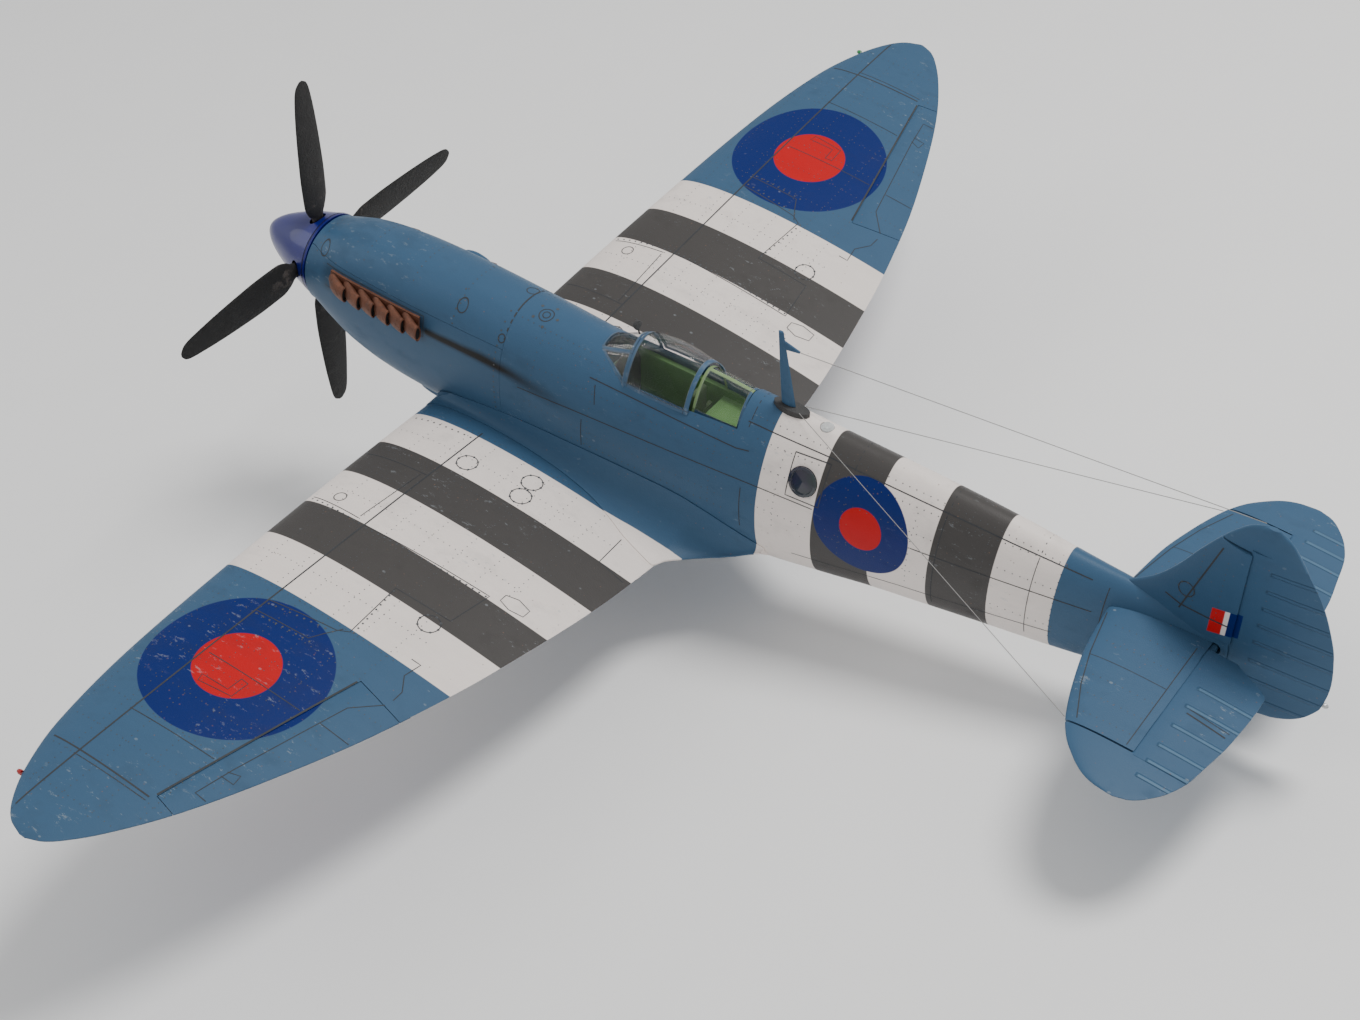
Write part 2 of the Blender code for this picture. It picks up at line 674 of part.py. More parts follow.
BELLY = [  # station, half width, height of the edge, height of the underside
    (2.125, WING_ROOT, -0.660, -0.700), (2.22, WING_ROOT, -0.720, -0.775),
    (2.45, WING_ROOT, -0.768, -0.806), (2.85, WING_ROOT, -0.788, -0.812),
    (3.60, WING_ROOT, -0.788, -0.812), (4.00, WING_ROOT, -0.760, -0.812),
    (4.35, WING_ROOT, -0.728, -0.810), (4.56, WING_ROOT - 0.004, -0.712, -0.808),
    (4.75, 0.360, -0.730, -0.806), (4.92, 0.240, -0.750, -0.802),
]


def belly_blank(grow=0.0):
    """The centre section's underside, with a flat pad that the model can be cradled on."""
    rings = []
    for k, (y, half, edge, low) in enumerate(BELLY):
        ends = -grow if k == 0 else grow if k == len(BELLY) - 1 else 0.0
        half += grow - GAP
        ring = [Vector((sign * half * share, y + ends, height - grow * (height < BELLY_ROOF)))
                for sign, share, height in (
                    (1, 1.0, BELLY_ROOF), (1, 1.0, edge), (1, 0.62, low),
                    (-1, 0.62, low), (-1, 1.0, edge), (-1, 1.0, BELLY_ROOF))]
        for p in (ring[0], ring[-1]):
            p.z += grow
        rings.append(ring)
    return loft(rings)


def build_belly():
    belly = add("belly_fairing", belly_blank(), BLUE)
    chin = [(2.102, 0.160, 0.100), (2.30, 0.150, 0.090), (2.70, 0.115, 0.054)]
    join(belly, loft([rounded(half, hull_bottom(y) - drop, hull_bottom(y) + 0.10, y)
                      for y, half, drop in chin]))
    shape(belly, fuselage_blank(1.6, 5.6, -GAP, 48, 22))
    shape(belly, rod((-0.6, SPAR["y"], SPAR["z"]), (0.6, SPAR["y"], SPAR["z"]),
                     SPAR["radius"] + GAP, 16))


# ---------------------------------------------------------------- wings
WING_STATIONS = [WING_ROOT, 0.8, 1.3, 1.9, 2.5, 3.1, 3.7, 4.2, 4.6, 4.9, 5.15, 5.35, 5.50,
                 5.60, HALF_SPAN]


def aileron():
    return Hinged(WING, AILERON["inner"], AILERON["outer"])


def stowed(u, v, h):
    """A point beside the retracted leg: along it, aft of its pivot, and up into the wing."""
    along = Vector((math.cos(GEAR_STOWED), 0, math.sin(GEAR_STOWED)))
    up = Vector((-math.sin(GEAR_STOWED), 0, math.cos(GEAR_STOWED)))
    return GEAR_PIVOT + along * u + Vector((0, v, 0)) + up * h


def lowered(u, v, h):
    """The same point with the leg down."""
    along = Vector((math.sin(GEAR_SPLAY), 0, -math.cos(GEAR_SPLAY)))
    out = Vector((math.cos(GEAR_SPLAY), 0, math.sin(GEAR_SPLAY)))
    return GEAR_PIVOT + along * u + Vector((0, v, 0)) + out * h


def round_outline(centre, radius, count, start=0.0, end=math.tau):
    whole = abs(end - start - math.tau) < 1e-6
    steps = count if whole else count - 1
    return [(centre[0] + radius * math.cos(start + (end - start) * k / steps),
             centre[1] + radius * math.sin(start + (end - start) * k / steps))
            for k in range(count)]


def door_outline(grow=0.0):
    """Leg door: narrow beside the leg and as wide as the wheel at its outer end."""
    reach, half = LEG_LENGTH + 0.06, WHEEL_RADIUS * 0.93 + grow
    return [(0.10 - grow, -0.075 - grow), (0.50, -0.105 - grow), (0.70, -half * 0.72),
            (0.84, -half * 0.95 + WHEEL_SWEEP), (reach + grow, -half + WHEEL_SWEEP),
            (reach + grow, half + WHEEL_SWEEP), (0.84, half * 0.95 + WHEEL_SWEEP),
            (0.70, half * 0.72), (0.50, 0.105 + grow), (0.10 - grow, 0.075 + grow)]


def build_wings():
    for side, sign in SIDES:
        place = to_port if sign > 0 else to_starboard

        def put(a, b, h):
            return place(stowed(a, b, h))

        wing = add(f"wing_{side}", loft([[place(p) for p in WING.ring(s)] for s in WING_STATIONS]),
                   BLUE)
        shape(wing, aileron().pocket(place=place))
        shape(wing, flap_pocket(place))
        spar_end = SPAR["reach"] + 0.01
        shape(wing, rod((sign * 0.3, SPAR["y"], SPAR["z"]),
                        (sign * spar_end, SPAR["y"], SPAR["z"]), SPAR["radius"] + GAP, 16))
        wheel_pit = round_outline((LEG_LENGTH, WHEEL_SWEEP), WHEEL_RADIUS + 0.022, 24)
        shape(wing, prism(wheel_pit, -0.33, 0.178, put))
        trench = [(-0.085, -0.060), (LEG_LENGTH, -0.050), (LEG_LENGTH, 0.050), (-0.085, 0.060)]
        shape(wing, prism(trench, -0.31, 0.062, put))
        shape(wing, prism(door_outline(0.008), -0.29, -0.028, put), solver="MANIFOLD")


# ---------------------------------------------------------------- split flaps
def flap_line(share, distance=0.0):
    return Hinged(WING, FLAP["inner"], FLAP["outer"]).at(share, distance)


def flap_ring(share, lift, drop, ahead, behind, place):
    """Section of a split flap: a thin plate let into the wing's lower surface."""
    hinge = Hinged(WING, FLAP["inner"], FLAP["outer"])
    depth = hinge.depth(min(1.0, max(0.0, share)))
    points = []
    for f in (0.0, 0.5, 1.0):
        p = hinge.at(share, -ahead if f == 0 else depth * f - 0.02 + behind * (f == 1.0))
        low = WING.heights(p.x, p.y)[1]
        points.append(Vector((p.x, p.y, low - drop)))
    for f in (1.0, 0.5, 0.0):
        p = hinge.at(share, -ahead if f == 0 else depth * f - 0.02 + behind * (f == 1.0))
        top, low = WING.heights(p.x, p.y)
        thick = min(FLAP_THICK, 0.42 * (top - low))
        points.append(Vector((p.x, p.y, low + thick + lift)))
    return [place(p) for p in points]


def flap_pocket(place):
    shares = [-0.004, 0.25, 0.5, 0.75, 1.004]
    return loft([flap_ring(t, GAP, 0.08, 0.012, 0.06, place) for t in shares])


def build_flaps():
    for side, sign in SIDES:
        place = to_port if sign > 0 else to_starboard
        shares = [0.0, 0.25, 0.5, 0.75, 1.0]
        origin = place(flap_hinge_point(0.0))
        add(f"flap_{side}", loft([flap_ring(t, 0.0, 0.0, 0.0, 0.0, place) for t in shares]),
            BLUE, origin)


def flap_hinge_point(share):
    p = flap_line(share)
    return Vector((p.x, p.y, WING.heights(p.x, p.y)[1]))


def build_ailerons():
    hinge = aileron()
    for side, sign in SIDES:
        place = to_port if sign > 0 else to_starboard
        add(f"aileron_{side}", hinge.moving(place=place), BLUE, place(hinge.axis_point(0.0)))


def build_spar():
    reach = SPAR["reach"]
    add("spar_tube", turned((-reach, SPAR["y"], SPAR["z"]), (1, 0, 0),
                            [(SPAR["radius"], 0), (SPAR["radius"], 2 * reach),
                             (SPAR["radius"] - 0.008, 2 * reach), (SPAR["radius"] - 0.008, 0)],
                            14), CARBON)


# ---------------------------------------------------------------- tail
def tailplane_blank(grow=0.0):
    stations = [0.0, 0.3, 0.6, 0.9, ELEVATOR_HORN - 0.006 - grow]
    rings = []
    for s in stations:
        lead = TAILPLANE.lead(s) - grow
        back = ELEVATOR_HINGE - 0.002 + grow
        upper, lower = [], []
        for f in (0.0, 0.03, 0.10, 0.25, 0.5, 0.75, 1.0):
            y = lead + (back - lead) * f
            top, bottom = section_half(s, max(y, TAILPLANE.lead(s)))
            upper.append(Vector((s, y, top + grow)))
            lower.append(Vector((s, y, bottom - grow)))
        rings.append(upper[::-1] + lower)
    mirrored = [[to_starboard(p) for p in ring] for ring in rings[:0:-1]]
    return loft(mirrored + rings)


def section_half(s, y):
    """Tailplane section measured along a whole chord, clear of the inboard cut-out."""
    lead = TAILPLANE.lead(s)
    chord = max(TAILPLANE.trail(s), 9.18 - 0.02 * s) - lead
    c = min(1.0, (y - lead) / chord)
    half = 5 * TAILPLANE.thick(s) * chord * (0.2969 * math.sqrt(c) - 0.126 * c
                                             - 0.3516 * c ** 2 + 0.2843 * c ** 3
                                             - 0.1036 * c ** 4) + 0.004 * c
    return TAIL_HEIGHT + half, TAIL_HEIGHT - half


def elevator_nose(s, swell):
    half = section_half(s, ELEVATOR_HINGE)[0] - TAIL_HEIGHT + swell
    return [Vector((s, ELEVATOR_HINGE - half * math.sin(math.pi * k / 6),
                    TAIL_HEIGHT + half * math.cos(math.pi * k / 6))) for k in range(7)]


def elevator_ring(s):
    upper, lower = [], []
    trail = TAILPLANE.trail(s)
    for f in (0.35, 0.7, 1.0):
        y = ELEVATOR_HINGE + (trail - ELEVATOR_HINGE) * f
        top, bottom = section_half(s, y)
        upper.append(Vector((s, y, top)))
        lower.append(Vector((s, y, bottom)))
    return upper[::-1] + elevator_nose(s, -0.5 * GAP) + lower


def elevator_pocket():
    rings = []
    for s in (-ELEVATOR_HORN, -0.85, -0.55, -0.285, 0.0, 0.285, 0.55, 0.85, ELEVATOR_HORN):
        nose = [Vector((s, p.y, p.z)) for p in elevator_nose(abs(s), 1.5 * GAP)]
        rings.append([Vector((s, ELEVATOR_HINGE, 0.8))] + nose
                     + [Vector((s, ELEVATOR_HINGE, 0.0)), Vector((s, 9.5, 0.0)),
                        Vector((s, 9.5, 0.8))])
    return loft(rings)


def build_tail():
    plane = add("tailplane", tailplane_blank(), BLUE)
    shape(plane, elevator_pocket())
    stations = [0.125, 0.20, 0.285, 0.55, 0.85, ELEVATOR_HORN + 0.02]
    main = [elevator_ring(s) for s in stations]
    elevator = add("elevator", loft(main), BLUE, (0, ELEVATOR_HINGE, TAIL_HEIGHT))
    join(elevator, loft([[to_starboard(p) for p in ring] for ring in main]))
    horn = [TAILPLANE.ring(s, 7) for s in (ELEVATOR_HORN + 0.008, 1.33, 1.44, 1.53, 1.575, 1.59)]
    join(elevator, loft(horn), loft([[to_starboard(p) for p in ring] for ring in horn]))
    join(elevator, rod((-0.17, ELEVATOR_HINGE, TAIL_HEIGHT), (0.17, ELEVATOR_HINGE, TAIL_HEIGHT),
                       0.030, 12))
    build_fin()


def rudder_section(s, f):
    """Half thickness of the rudder, which keeps its width down past the fin's foot."""
    depth = FIN.trail(s) - RUDDER_HINGE
    return 0.050 * (1 - f) ** 0.8 + 0.004 if depth > 0 else 0.004


def rudder_ring(s):
    port, starboard = [], []
    depth = FIN.trail(s) - RUDDER_HINGE
    for f in (0.3, 0.65, 1.0):
        half = rudder_section(s, f)
        port.append(Vector((half, RUDDER_HINGE + depth * f, s)))
        starboard.append(Vector((-half, RUDDER_HINGE + depth * f, s)))
    return port[::-1] + rudder_nose(s, 0.0) + starboard


def rudder_nose(s, swell):
    radius = 0.052 + swell
    return [Vector((radius * math.cos(math.pi * k / 6), RUDDER_HINGE
                    - radius * math.sin(math.pi * k / 6), s)) for k in range(7)]


def rudder_pocket():
    """The rudder's room, whose lips stop short of the hinge line to let it swing."""
    rings = []
    lip = RUDDER_HINGE - RUDDER_LIP
    for s in (-0.3, RUDDER_HORN + 0.002):
        nose = rudder_nose(s, 1.5 * GAP)
        for p in (nose[0], nose[-1]):
            p.y = lip
        rings.append([Vector((0.4, lip, s))] + nose
                     + [Vector((-0.4, lip, s)), Vector((-0.4, 9.8, s)), Vector((0.4, 9.8, s))])
    return loft(rings)


def fin_ring(s):
    """Fin section: a slender nose that widens to the rudder's hinge."""
    lead, back = FIN.lead(s), RUDDER_HINGE
    port, starboard = [], []
    for f in (0.0, 0.04, 0.15, 0.35, 0.65, 1.0):
        half = 0.056 * min(1.0, math.sqrt(f) * 1.15) + 0.004
        half += 0.05 * max(0.0, 0.75 - s) * (1 - abs(2 * f - 1))
        port.append(Vector((half, lead + (back - lead) * f, s)))
        starboard.append(Vector((-half, lead + (back - lead) * f, s)))
    return port[::-1] + starboard


def build_fin():
    fin = add("fin", loft([fin_ring(s) for s in (0.50, 0.62, 0.72, 0.85, 1.0, 1.2, RUDDER_HORN
                                                 - 0.006)]), BLUE)
    shape(fin, fuselage_blank(7.6, 8.826, -GAP, 28, 14))
    shape(fin, rudder_pocket())
    stations = [-0.060, -0.02, 0.06, 0.155, 0.30, 0.47, 0.74, 0.98, 1.19, RUDDER_HORN + 0.03]
    body = add("rudder", loft([rudder_ring(s) for s in stations]), BLUE,
               (0, RUDDER_HINGE, TAIL_HEIGHT))
    horn = []
    for s in (RUDDER_HORN + 0.006, 1.46, 1.54, 1.59, 1.61):
        lead, trail = FIN.lead(s), FIN.trail(s)
        port, starboard = [], []
        for f in (0.0, 0.06, 0.2, 0.45, 0.75, 1.0):
            half = 0.052 * min(1.0, math.sqrt(f) * 1.4) * (1 - f) ** 0.4 + 0.004
            half *= math.sqrt(max(0.05, 1 - ((s - RUDDER_HORN) / 0.27) ** 2))
            port.append(Vector((half, lead + (trail - lead) * f, s)))
            starboard.append(Vector((-half, lead + (trail - lead) * f, s)))
        horn.append(port[::-1] + starboard)
    join(body, loft(horn))


# ---------------------------------------------------------------- propeller and motor
BLADE = [  # radius, chord, thickness, pitch in degrees
    (0.145, 0.084, 0.084, 8.0), (0.270, 0.110, 0.080, 8.0), (0.355, 0.140, 0.066, 8.0),
    (0.42, 0.235, 0.056, 7.5), (0.52, 0.300, 0.048, 7.0), (0.75, 0.310, 0.038, 6.0),
    (1.00, 0.290, 0.030, 5.0), (1.25, 0.255, 0.023, 4.0), (1.45, 0.212, 0.018, 3.0),
    (1.57, 0.175, 0.014, 3.0), (1.63, 0.128, 0.011, 3.0), (PROP_RADIUS, 0.040, 0.007, 3.0),
]


def blade(turn):
    rings = []
    for radius, chord, thick, pitch in BLADE:
        a = math.radians(pitch)
        ring = []
        for k in range(10):
            t = math.tau * k / 10
            u = chord / 2 * math.cos(t)
            v = thick / 2 * math.sin(t)
            ring.append(Vector((u * math.cos(a) - v * math.sin(a),
                                PROP_Y + u * math.sin(a) + v * math.cos(a), radius + HUB_Z)))
        rings.append(ring)
    bm = loft(rings)
    bmesh.ops.rotate(bm, verts=bm.verts, cent=(0, PROP_Y, HUB_Z),
                     matrix=Matrix.Rotation(turn, 3, "Y"))
    return bm


def blade_slot(turn):
    """Oval room for two opposite blade roots through the spinner."""
    oval = [(0.086 * math.cos(math.tau * k / 16), 0.050 * math.sin(math.tau * k / 16))
            for k in range(16)]
    bm = prism(oval, -0.6, 0.6, lambda a, b, h: Vector((a, PROP_Y + b, h + HUB_Z)))
    bmesh.ops.rotate(bm, verts=bm.verts, cent=(0, PROP_Y, HUB_Z),
                     matrix=Matrix.Rotation(turn, 3, "Y"))
    return bm


def build_propeller():
    hub = (0, PROP_Y, HUB_Z)
    nose = (0, 0, HUB_Z)
    for k in range(4):
        add(f"prop_blade_{k + 1}", blade(math.pi / 2 * k), BLACK, hub)
    outside = [(0.0, 0.020), (0.055, 0.040), (0.108, 0.090), (0.168, 0.175), (0.234, 0.305),
               (0.290, 0.44), (0.334, 0.58), (SPINNER_RADIUS, 0.668)]
    inside = [(SPINNER_RADIUS - 0.016, 0.668), (0.318, 0.58), (0.274, 0.44), (0.218, 0.31),
              (0.148, 0.19), (0.0, 0.09)]
    spinner = add("spinner", capped_turn(nose, (0, 1, 0), outside + inside, 24),
                  SPINNER_BLUE, hub)
    for turn in (0, math.pi / 2):
        shape(spinner, blade_slot(turn))
    plate = [(0.0, 0.50), (0.135, 0.50), (0.135, 0.655), (0.30, 0.655),
             (0.30, 0.668 + GAP), (SPINNER_RADIUS, 0.668 + GAP), (SPINNER_RADIUS, SPINNER_BACK),
             (0.0, SPINNER_BACK)]
    add("spinner_backplate", capped_turn(nose, (0, 1, 0), plate, 24), SPINNER_BLUE, hub)
    can = model(21)
    shaft = model(2.5)
    start = SPINNER_BACK + GAP
    bell = [(0.0, start), (0.07, start), (0.07, 0.80), (can, 0.83), (can, 1.10),
            (can - 0.02, 1.10), (can - 0.02, 0.86), (shaft, 0.86), (shaft, 1.12), (0.0, 1.12)]
    add("motor_bell", capped_turn(nose, (0, 1, 0), bell, 20), STEEL, hub)
    core = [(shaft + GAP, 0.90), (can - 0.035, 0.90), (can - 0.035, 1.14), (can, 1.15),
            (can, 1.30 - GAP), (shaft + GAP, 1.30 - GAP)]
    add("motor_stator", turned(nose, (0, 1, 0), core, 20), COPPER)


# ---------------------------------------------------------------- exhausts


def exhaust_stub(y, place):
    surface = hull_point(y, hull_turn(y, EXHAUST_HEIGHT)).x
    path = [(0.012, -0.030, 0.050, 0.085), (0.050, 0.035, 0.046, 0.080),
            (0.078, 0.105, 0.040, 0.075), (0.088, 0.150, 0.038, 0.072)]
    rings = []
    for out, aft, thick, tall in path:
        centre = Vector((surface + out, y + aft, EXHAUST_HEIGHT))
        lean = min(1.0, out / 0.088)
        forward = Vector((1 - lean, lean, 0)).normalized()
        across = Vector((forward.y, -forward.x, 0))
        rings.append([centre + across * thick * math.cos(math.tau * k / 8)
                      + Vector((0, 0, tall * math.sin(math.tau * k / 8))) for k in range(8)])
    last = rings[-1]
    middle = sum(last, Vector()) / len(last)
    rings.append([middle + (p - middle) * 0.74 for p in last])
    rings.append([middle + (p - middle) * 0.60 + Vector((-0.012, -0.065, 0)) for p in last])
    return loft([[place(p) for p in ring] for ring in rings])


def build_exhausts():
    for side, sign in SIDES:
        place = to_port if sign > 0 else to_starboard
        rings = []
        for y in (EXHAUST_FIRST - 0.075, 1.4, 1.7, EXHAUST_FIRST + 5.6 * EXHAUST_STEP):
            ring = []
            for z, out in ((0.085, GAP * 1.5), (0.165, GAP * 1.5), (0.250, GAP * 1.5),
                           (0.250, 0.020), (0.165, 0.020), (0.085, 0.020)):
                ring.append(place(Vector((hull_point(y, hull_turn(y, z)).x + out, y, z))))
            rings.append(ring)
        stack = add(f"exhaust_{side}", loft(rings), COPPER)
        for k in range(6):
            join(stack, exhaust_stub(EXHAUST_FIRST + k * EXHAUST_STEP, place))
        shape(stack, fuselage_blank(0.9, 2.3, -GAP, 36, 8))


# ---------------------------------------------------------------- cockpit and canopy


def glass_ring(y, half, foot, top, wall=CLEAR_SKIN, count=10):
    """Section of a clear canopy piece standing on its foot height."""
    low = foot - 0.22
    start = math.asin(((foot - low) / (top - low)) ** (1 / GLASS_POWER))
    spread = half / math.cos(start) ** GLASS_POWER

    def arc(inset):
        points = []
        for k in range(count + 1):
            t = start + (math.pi - 2 * start) * k / count
            points.append(Vector((
                math.copysign((spread - inset) * abs(math.cos(t)) ** GLASS_POWER, math.cos(t)), y,
                low + (top - inset - low) * math.sin(t) ** GLASS_POWER)))
        return points

    return arc(0.0) + arc(wall)[::-1]


HOOD = [  # station, half width, top
    (3.905, 0.272, 0.750), (4.00, 0.280, 0.778), (4.15, 0.285, 0.800), (4.30, 0.282, 0.788),
    (4.42, 0.275, 0.758), (4.49, 0.270, 0.745)]


def build_canopy():
    screen = []
    for k in range(7):
        t = k / 6
        y = 3.575 + (3.898 - 3.575) * t
        half = 0.118 + (0.272 - 0.118) * t ** 0.9
        foot = hull_surface(y, half) - 0.004
        screen.append(glass_ring(y, half, foot, 0.575 + (0.750 - 0.575) * t))
    shape(add("windscreen", loft(screen), CLEAR), fuselage_blank(3.4, 4.1, -GAP, 24, 6))
    add("canopy_hood", loft([glass_ring(y, half, HOOD_FOOT, top) for y, half, top in HOOD]),
        CLEAR, (0, HOOD[0][0], HOOD_FOOT))
    rear = [glass_ring(y, half, TUB_TOP + model(0.9), top) for y, half, top in
            ((4.497, 0.240, 0.722), (4.70, 0.236, 0.716), (4.908, 0.222, 0.702))]
    add("rear_glazing", loft(rear), CLEAR)


def build_cockpit():
    tub = add("cockpit_tub", box((-0.225, 0.225), (3.66, 4.885), (-0.320, TUB_TOP)), GREEN)
    join(tub, box((-0.250, 0.250), (3.64, 4.905), (TUB_TOP - 0.020, TUB_TOP)))
    shape(tub, box((-0.210, 0.210), (3.675, 4.50), (-0.305, 0.6)))
    shape(tub, box((-0.210, 0.210), (4.45, 4.870), (0.290, 0.6)))
    panel = [(-0.205, -0.06), (0.205, -0.06), (0.205, 0.30), (0.150, 0.42), (0.0, 0.455),
             (-0.150, 0.42), (-0.205, 0.30)]
    add("instrument_panel", prism(panel, 3.70, 3.718, lambda a, b, h: Vector((a, h, b))), BLACK)
    seat = add("pilot_seat", soften(box((-0.150, 0.150), (4.08, 4.44), (-0.225, -0.185)), 0.012),
               GREEN)
    join(seat, box((-0.150, 0.150), (4.405, 4.435), (-0.20, 0.24)))
    for x in (-0.150, 0.132):
        join(seat, box((x, x + 0.018), (4.12, 4.42), (-0.20, 0.00)))
    join(seat, box((-0.06, 0.06), (4.20, 4.34), (-0.305 + GAP, -0.21)))
    join(seat, soften(box((-0.085, 0.085), (4.380, 4.432), (0.20, 0.46)), 0.012))


# ---------------------------------------------------------------- small fittings


def camera_point(out):
    """A point on the camera window's axis, a distance out from the fuselage's skin."""
    y, z = CAMERA["y"], CAMERA["z"]
    below, above = (hull_point(y, hull_turn(y, z + step)) for step in (-0.02, 0.02))
    along = (above - below).normalized()
    return (below + above) / 2 + Vector((along.z, 0, -along.x)) * out


def build_fittings():
    spine = hull_top(MAST_Y)
    outline = []
    for k in range(16):
        t = math.tau * k / 16
        outline.append((0.058 * math.sin(t), MAST_Y + 0.02 + 0.155 * math.cos(t)))
    base = add("mast_base", prism(outline, spine - 0.05, spine + 0.032, plan), DARK)
    shape(base, fuselage_blank(4.95, 5.6, -GAP, 24, 4))
    foot = spine + 0.032 + GAP
    mast = add("aerial_mast", loft([
        mast_ring(MAST_Y - 0.010, foot, 0.062, 0.020),
        mast_ring(MAST_Y - 0.055, foot + 0.30, 0.045, 0.016),
        mast_ring(MAST_Y - 0.105, 1.385, 0.022, 0.010)]), BLUE)
    join(mast, hook())
    lens_z = hull_top(LIGHT_Y)
    add("spine_light", capped_turn((0, LIGHT_Y, 0), (0, 0, 1), [
        (0.0, 0.64), (0.052, 0.64), (0.052, lens_z - 0.004), (0.036, lens_z + 0.012),
        (0.0, lens_z + 0.020)], 16), CLEAR)
    outward = camera_point(1.0) - camera_point(0.0)
    add("camera_window", capped_turn(camera_point(0.0), outward, [
        (0.0, -0.030), (CAMERA_RADIUS, -0.030), (CAMERA_RADIUS, 0.010),
        (CAMERA_RADIUS - 0.020, 0.014), (CAMERA_RADIUS - 0.026, 0.000), (0.0, 0.004)], 20), BLACK)
    tip_s = 5.285
    for name, sign, paint in (("nav_light_left", 1, RED_LENS), ("nav_light_right", -1, GREEN_LENS)):
        top, bottom = WING.heights(tip_s, WING.lead(tip_s) + 0.01)
        centre = Vector((sign * tip_s, WING.lead(tip_s) - 0.024 - GAP, (top + bottom) / 2))
        add(name, capped_turn(centre, (0, 1, 0), [
            (0.0, -0.022), (0.014, -0.015), (0.020, 0.0), (0.020, 0.022 - GAP), (0.0, 0.022 - GAP)],
            12), paint)
    tail_z = 0.30
    trail = FIN.trail(tail_z)
    add("tail_light", capped_turn((0, trail + GAP, tail_z), (0, 1, 0), [
        (0.0, 0.0), (0.018, 0.0), (0.018, 0.022), (0.011, 0.036), (0.0, 0.040)], 12), STEEL,
        (0, RUDDER_HINGE, tail_z))


def mast_ring(y, z, half_chord, half_thick):
    return [Vector((half_thick * math.sin(math.tau * k / 10),
                    y + half_chord * math.cos(math.tau * k / 10), z)) for k in range(10)]


def hook():
    """Wire hook: a small triangular arm pointing aft from the mast's top."""
    outline = [(MAST_Y - 0.085, 1.315), (MAST_Y - 0.078, 1.235), (MAST_Y + 0.062, 1.262),
               (MAST_Y + 0.062, 1.275)]
    return prism(outline, -0.006, 0.006, lambda a, b, h: Vector((h, a, b)))


def straight_wire(name, start, end):
    add(name, rod(start, end, WIRE_RADIUS, 6), WIRE)


def build_wires():
    straight_wire("aerial_wire_fin", (0, MAST_Y + 0.062 + 0.006, 1.268), (0, 8.845, 1.628))
    for side, sign in SIDES:
        start = (sign * 0.045, MAST_Y + 0.110, hull_top(MAST_Y) + 0.038)
        end = (sign * WIRE_SPAN, TAILPLANE.lead(WIRE_SPAN) - 0.006, TAIL_HEIGHT)
        straight_wire(f"aerial_wire_{side}", start, end)


# ---------------------------------------------------------------- undercarriage


def floor_below():
    """Height of the floor under the airframe, along the tilted vertical."""
    centre = lowered(AXLE_REACH, WHEEL_SWEEP, WHEEL_OFFSET)
    axle = Vector((math.cos(GEAR_SPLAY), 0, math.sin(GEAR_SPLAY)))
    down = Vector((0, math.sin(PITCH), -math.cos(PITCH)))
    lean = abs(down.dot(axle))
    tread = WHEEL_WIDTH / 2 * TREAD_SHARE
    return centre.dot(down) + WHEEL_RADIUS * math.sqrt(1 - lean ** 2) + tread * lean


def tail_wheel_height():
    """Height of the tail wheel's axle that puts all three wheels on one floor."""
    drop = floor_below() - TAIL_WHEEL_RADIUS
    return (TAIL_WHEEL_Y * math.sin(PITCH) - drop) / math.cos(PITCH)


def wheel(centre, axle, radius, width, bore, count):
    """Tyre on its hub, turned about the axle."""
    half = width / 2
    profile = [(bore, -half * 0.55), (radius * 0.58, -half * 0.55), (radius * 0.62, -half * 0.90),
               (radius * 0.80, -half), (radius * 0.94, -half * 0.72), (radius, -half * TREAD_SHARE),
               (radius, half * TREAD_SHARE), (radius * 0.94, half * 0.72), (radius * 0.80, half),
               (radius * 0.62, half * 0.90), (radius * 0.58, half * 0.55), (bore, half * 0.55)]
    return turned(centre, axle, profile, count)


def build_main_gear():
    for side, sign in SIDES:
        place = to_port if sign > 0 else to_starboard

        def put(a, b, h):
            return place(lowered(a, b, h))

        pivot = put(0, 0, 0)
        leg = add(f"gear_leg_{side}", rod(put(0, -0.052, 0), put(0, 0.052, 0), 0.050, 14),
                  STEEL, pivot)
        knee = (0.62, WHEEL_SWEEP * 0.6, 0)
        join(leg, rod(put(0, 0, 0), put(*knee), 0.034, 12))
        join(leg, rod(put(*knee), put(LEG_LENGTH + 0.02, WHEEL_SWEEP, 0), 0.024, 12))
        join(leg, rod(put(AXLE_REACH, WHEEL_SWEEP, -0.015),
                      put(AXLE_REACH, WHEEL_SWEEP, WHEEL_OFFSET + 0.050), 0.018, 12))
        for u in (0.22, 0.50):
            join(leg, block(put, (u, u + 0.05), (-0.02, 0.02), (-0.0475, 0.0)))
        hub = put(AXLE_REACH, WHEEL_SWEEP, WHEEL_OFFSET)
        axle = put(0, 0, 1) - put(0, 0, 0)
        add(f"wheel_{side}", wheel(hub, axle, WHEEL_RADIUS, WHEEL_WIDTH, 0.018 + GAP, 24),
            RUBBER, hub)
        add(f"gear_door_{side}", prism(door_outline(), -0.0475 - GAP - 0.012, -0.0475 - GAP, put),
            BLUE, pivot)


def block(put, u, v, h):
    return prism([(u[0], v[0]), (u[1], v[0]), (u[1], v[1]), (u[0], v[1])], h[0], h[1], put)


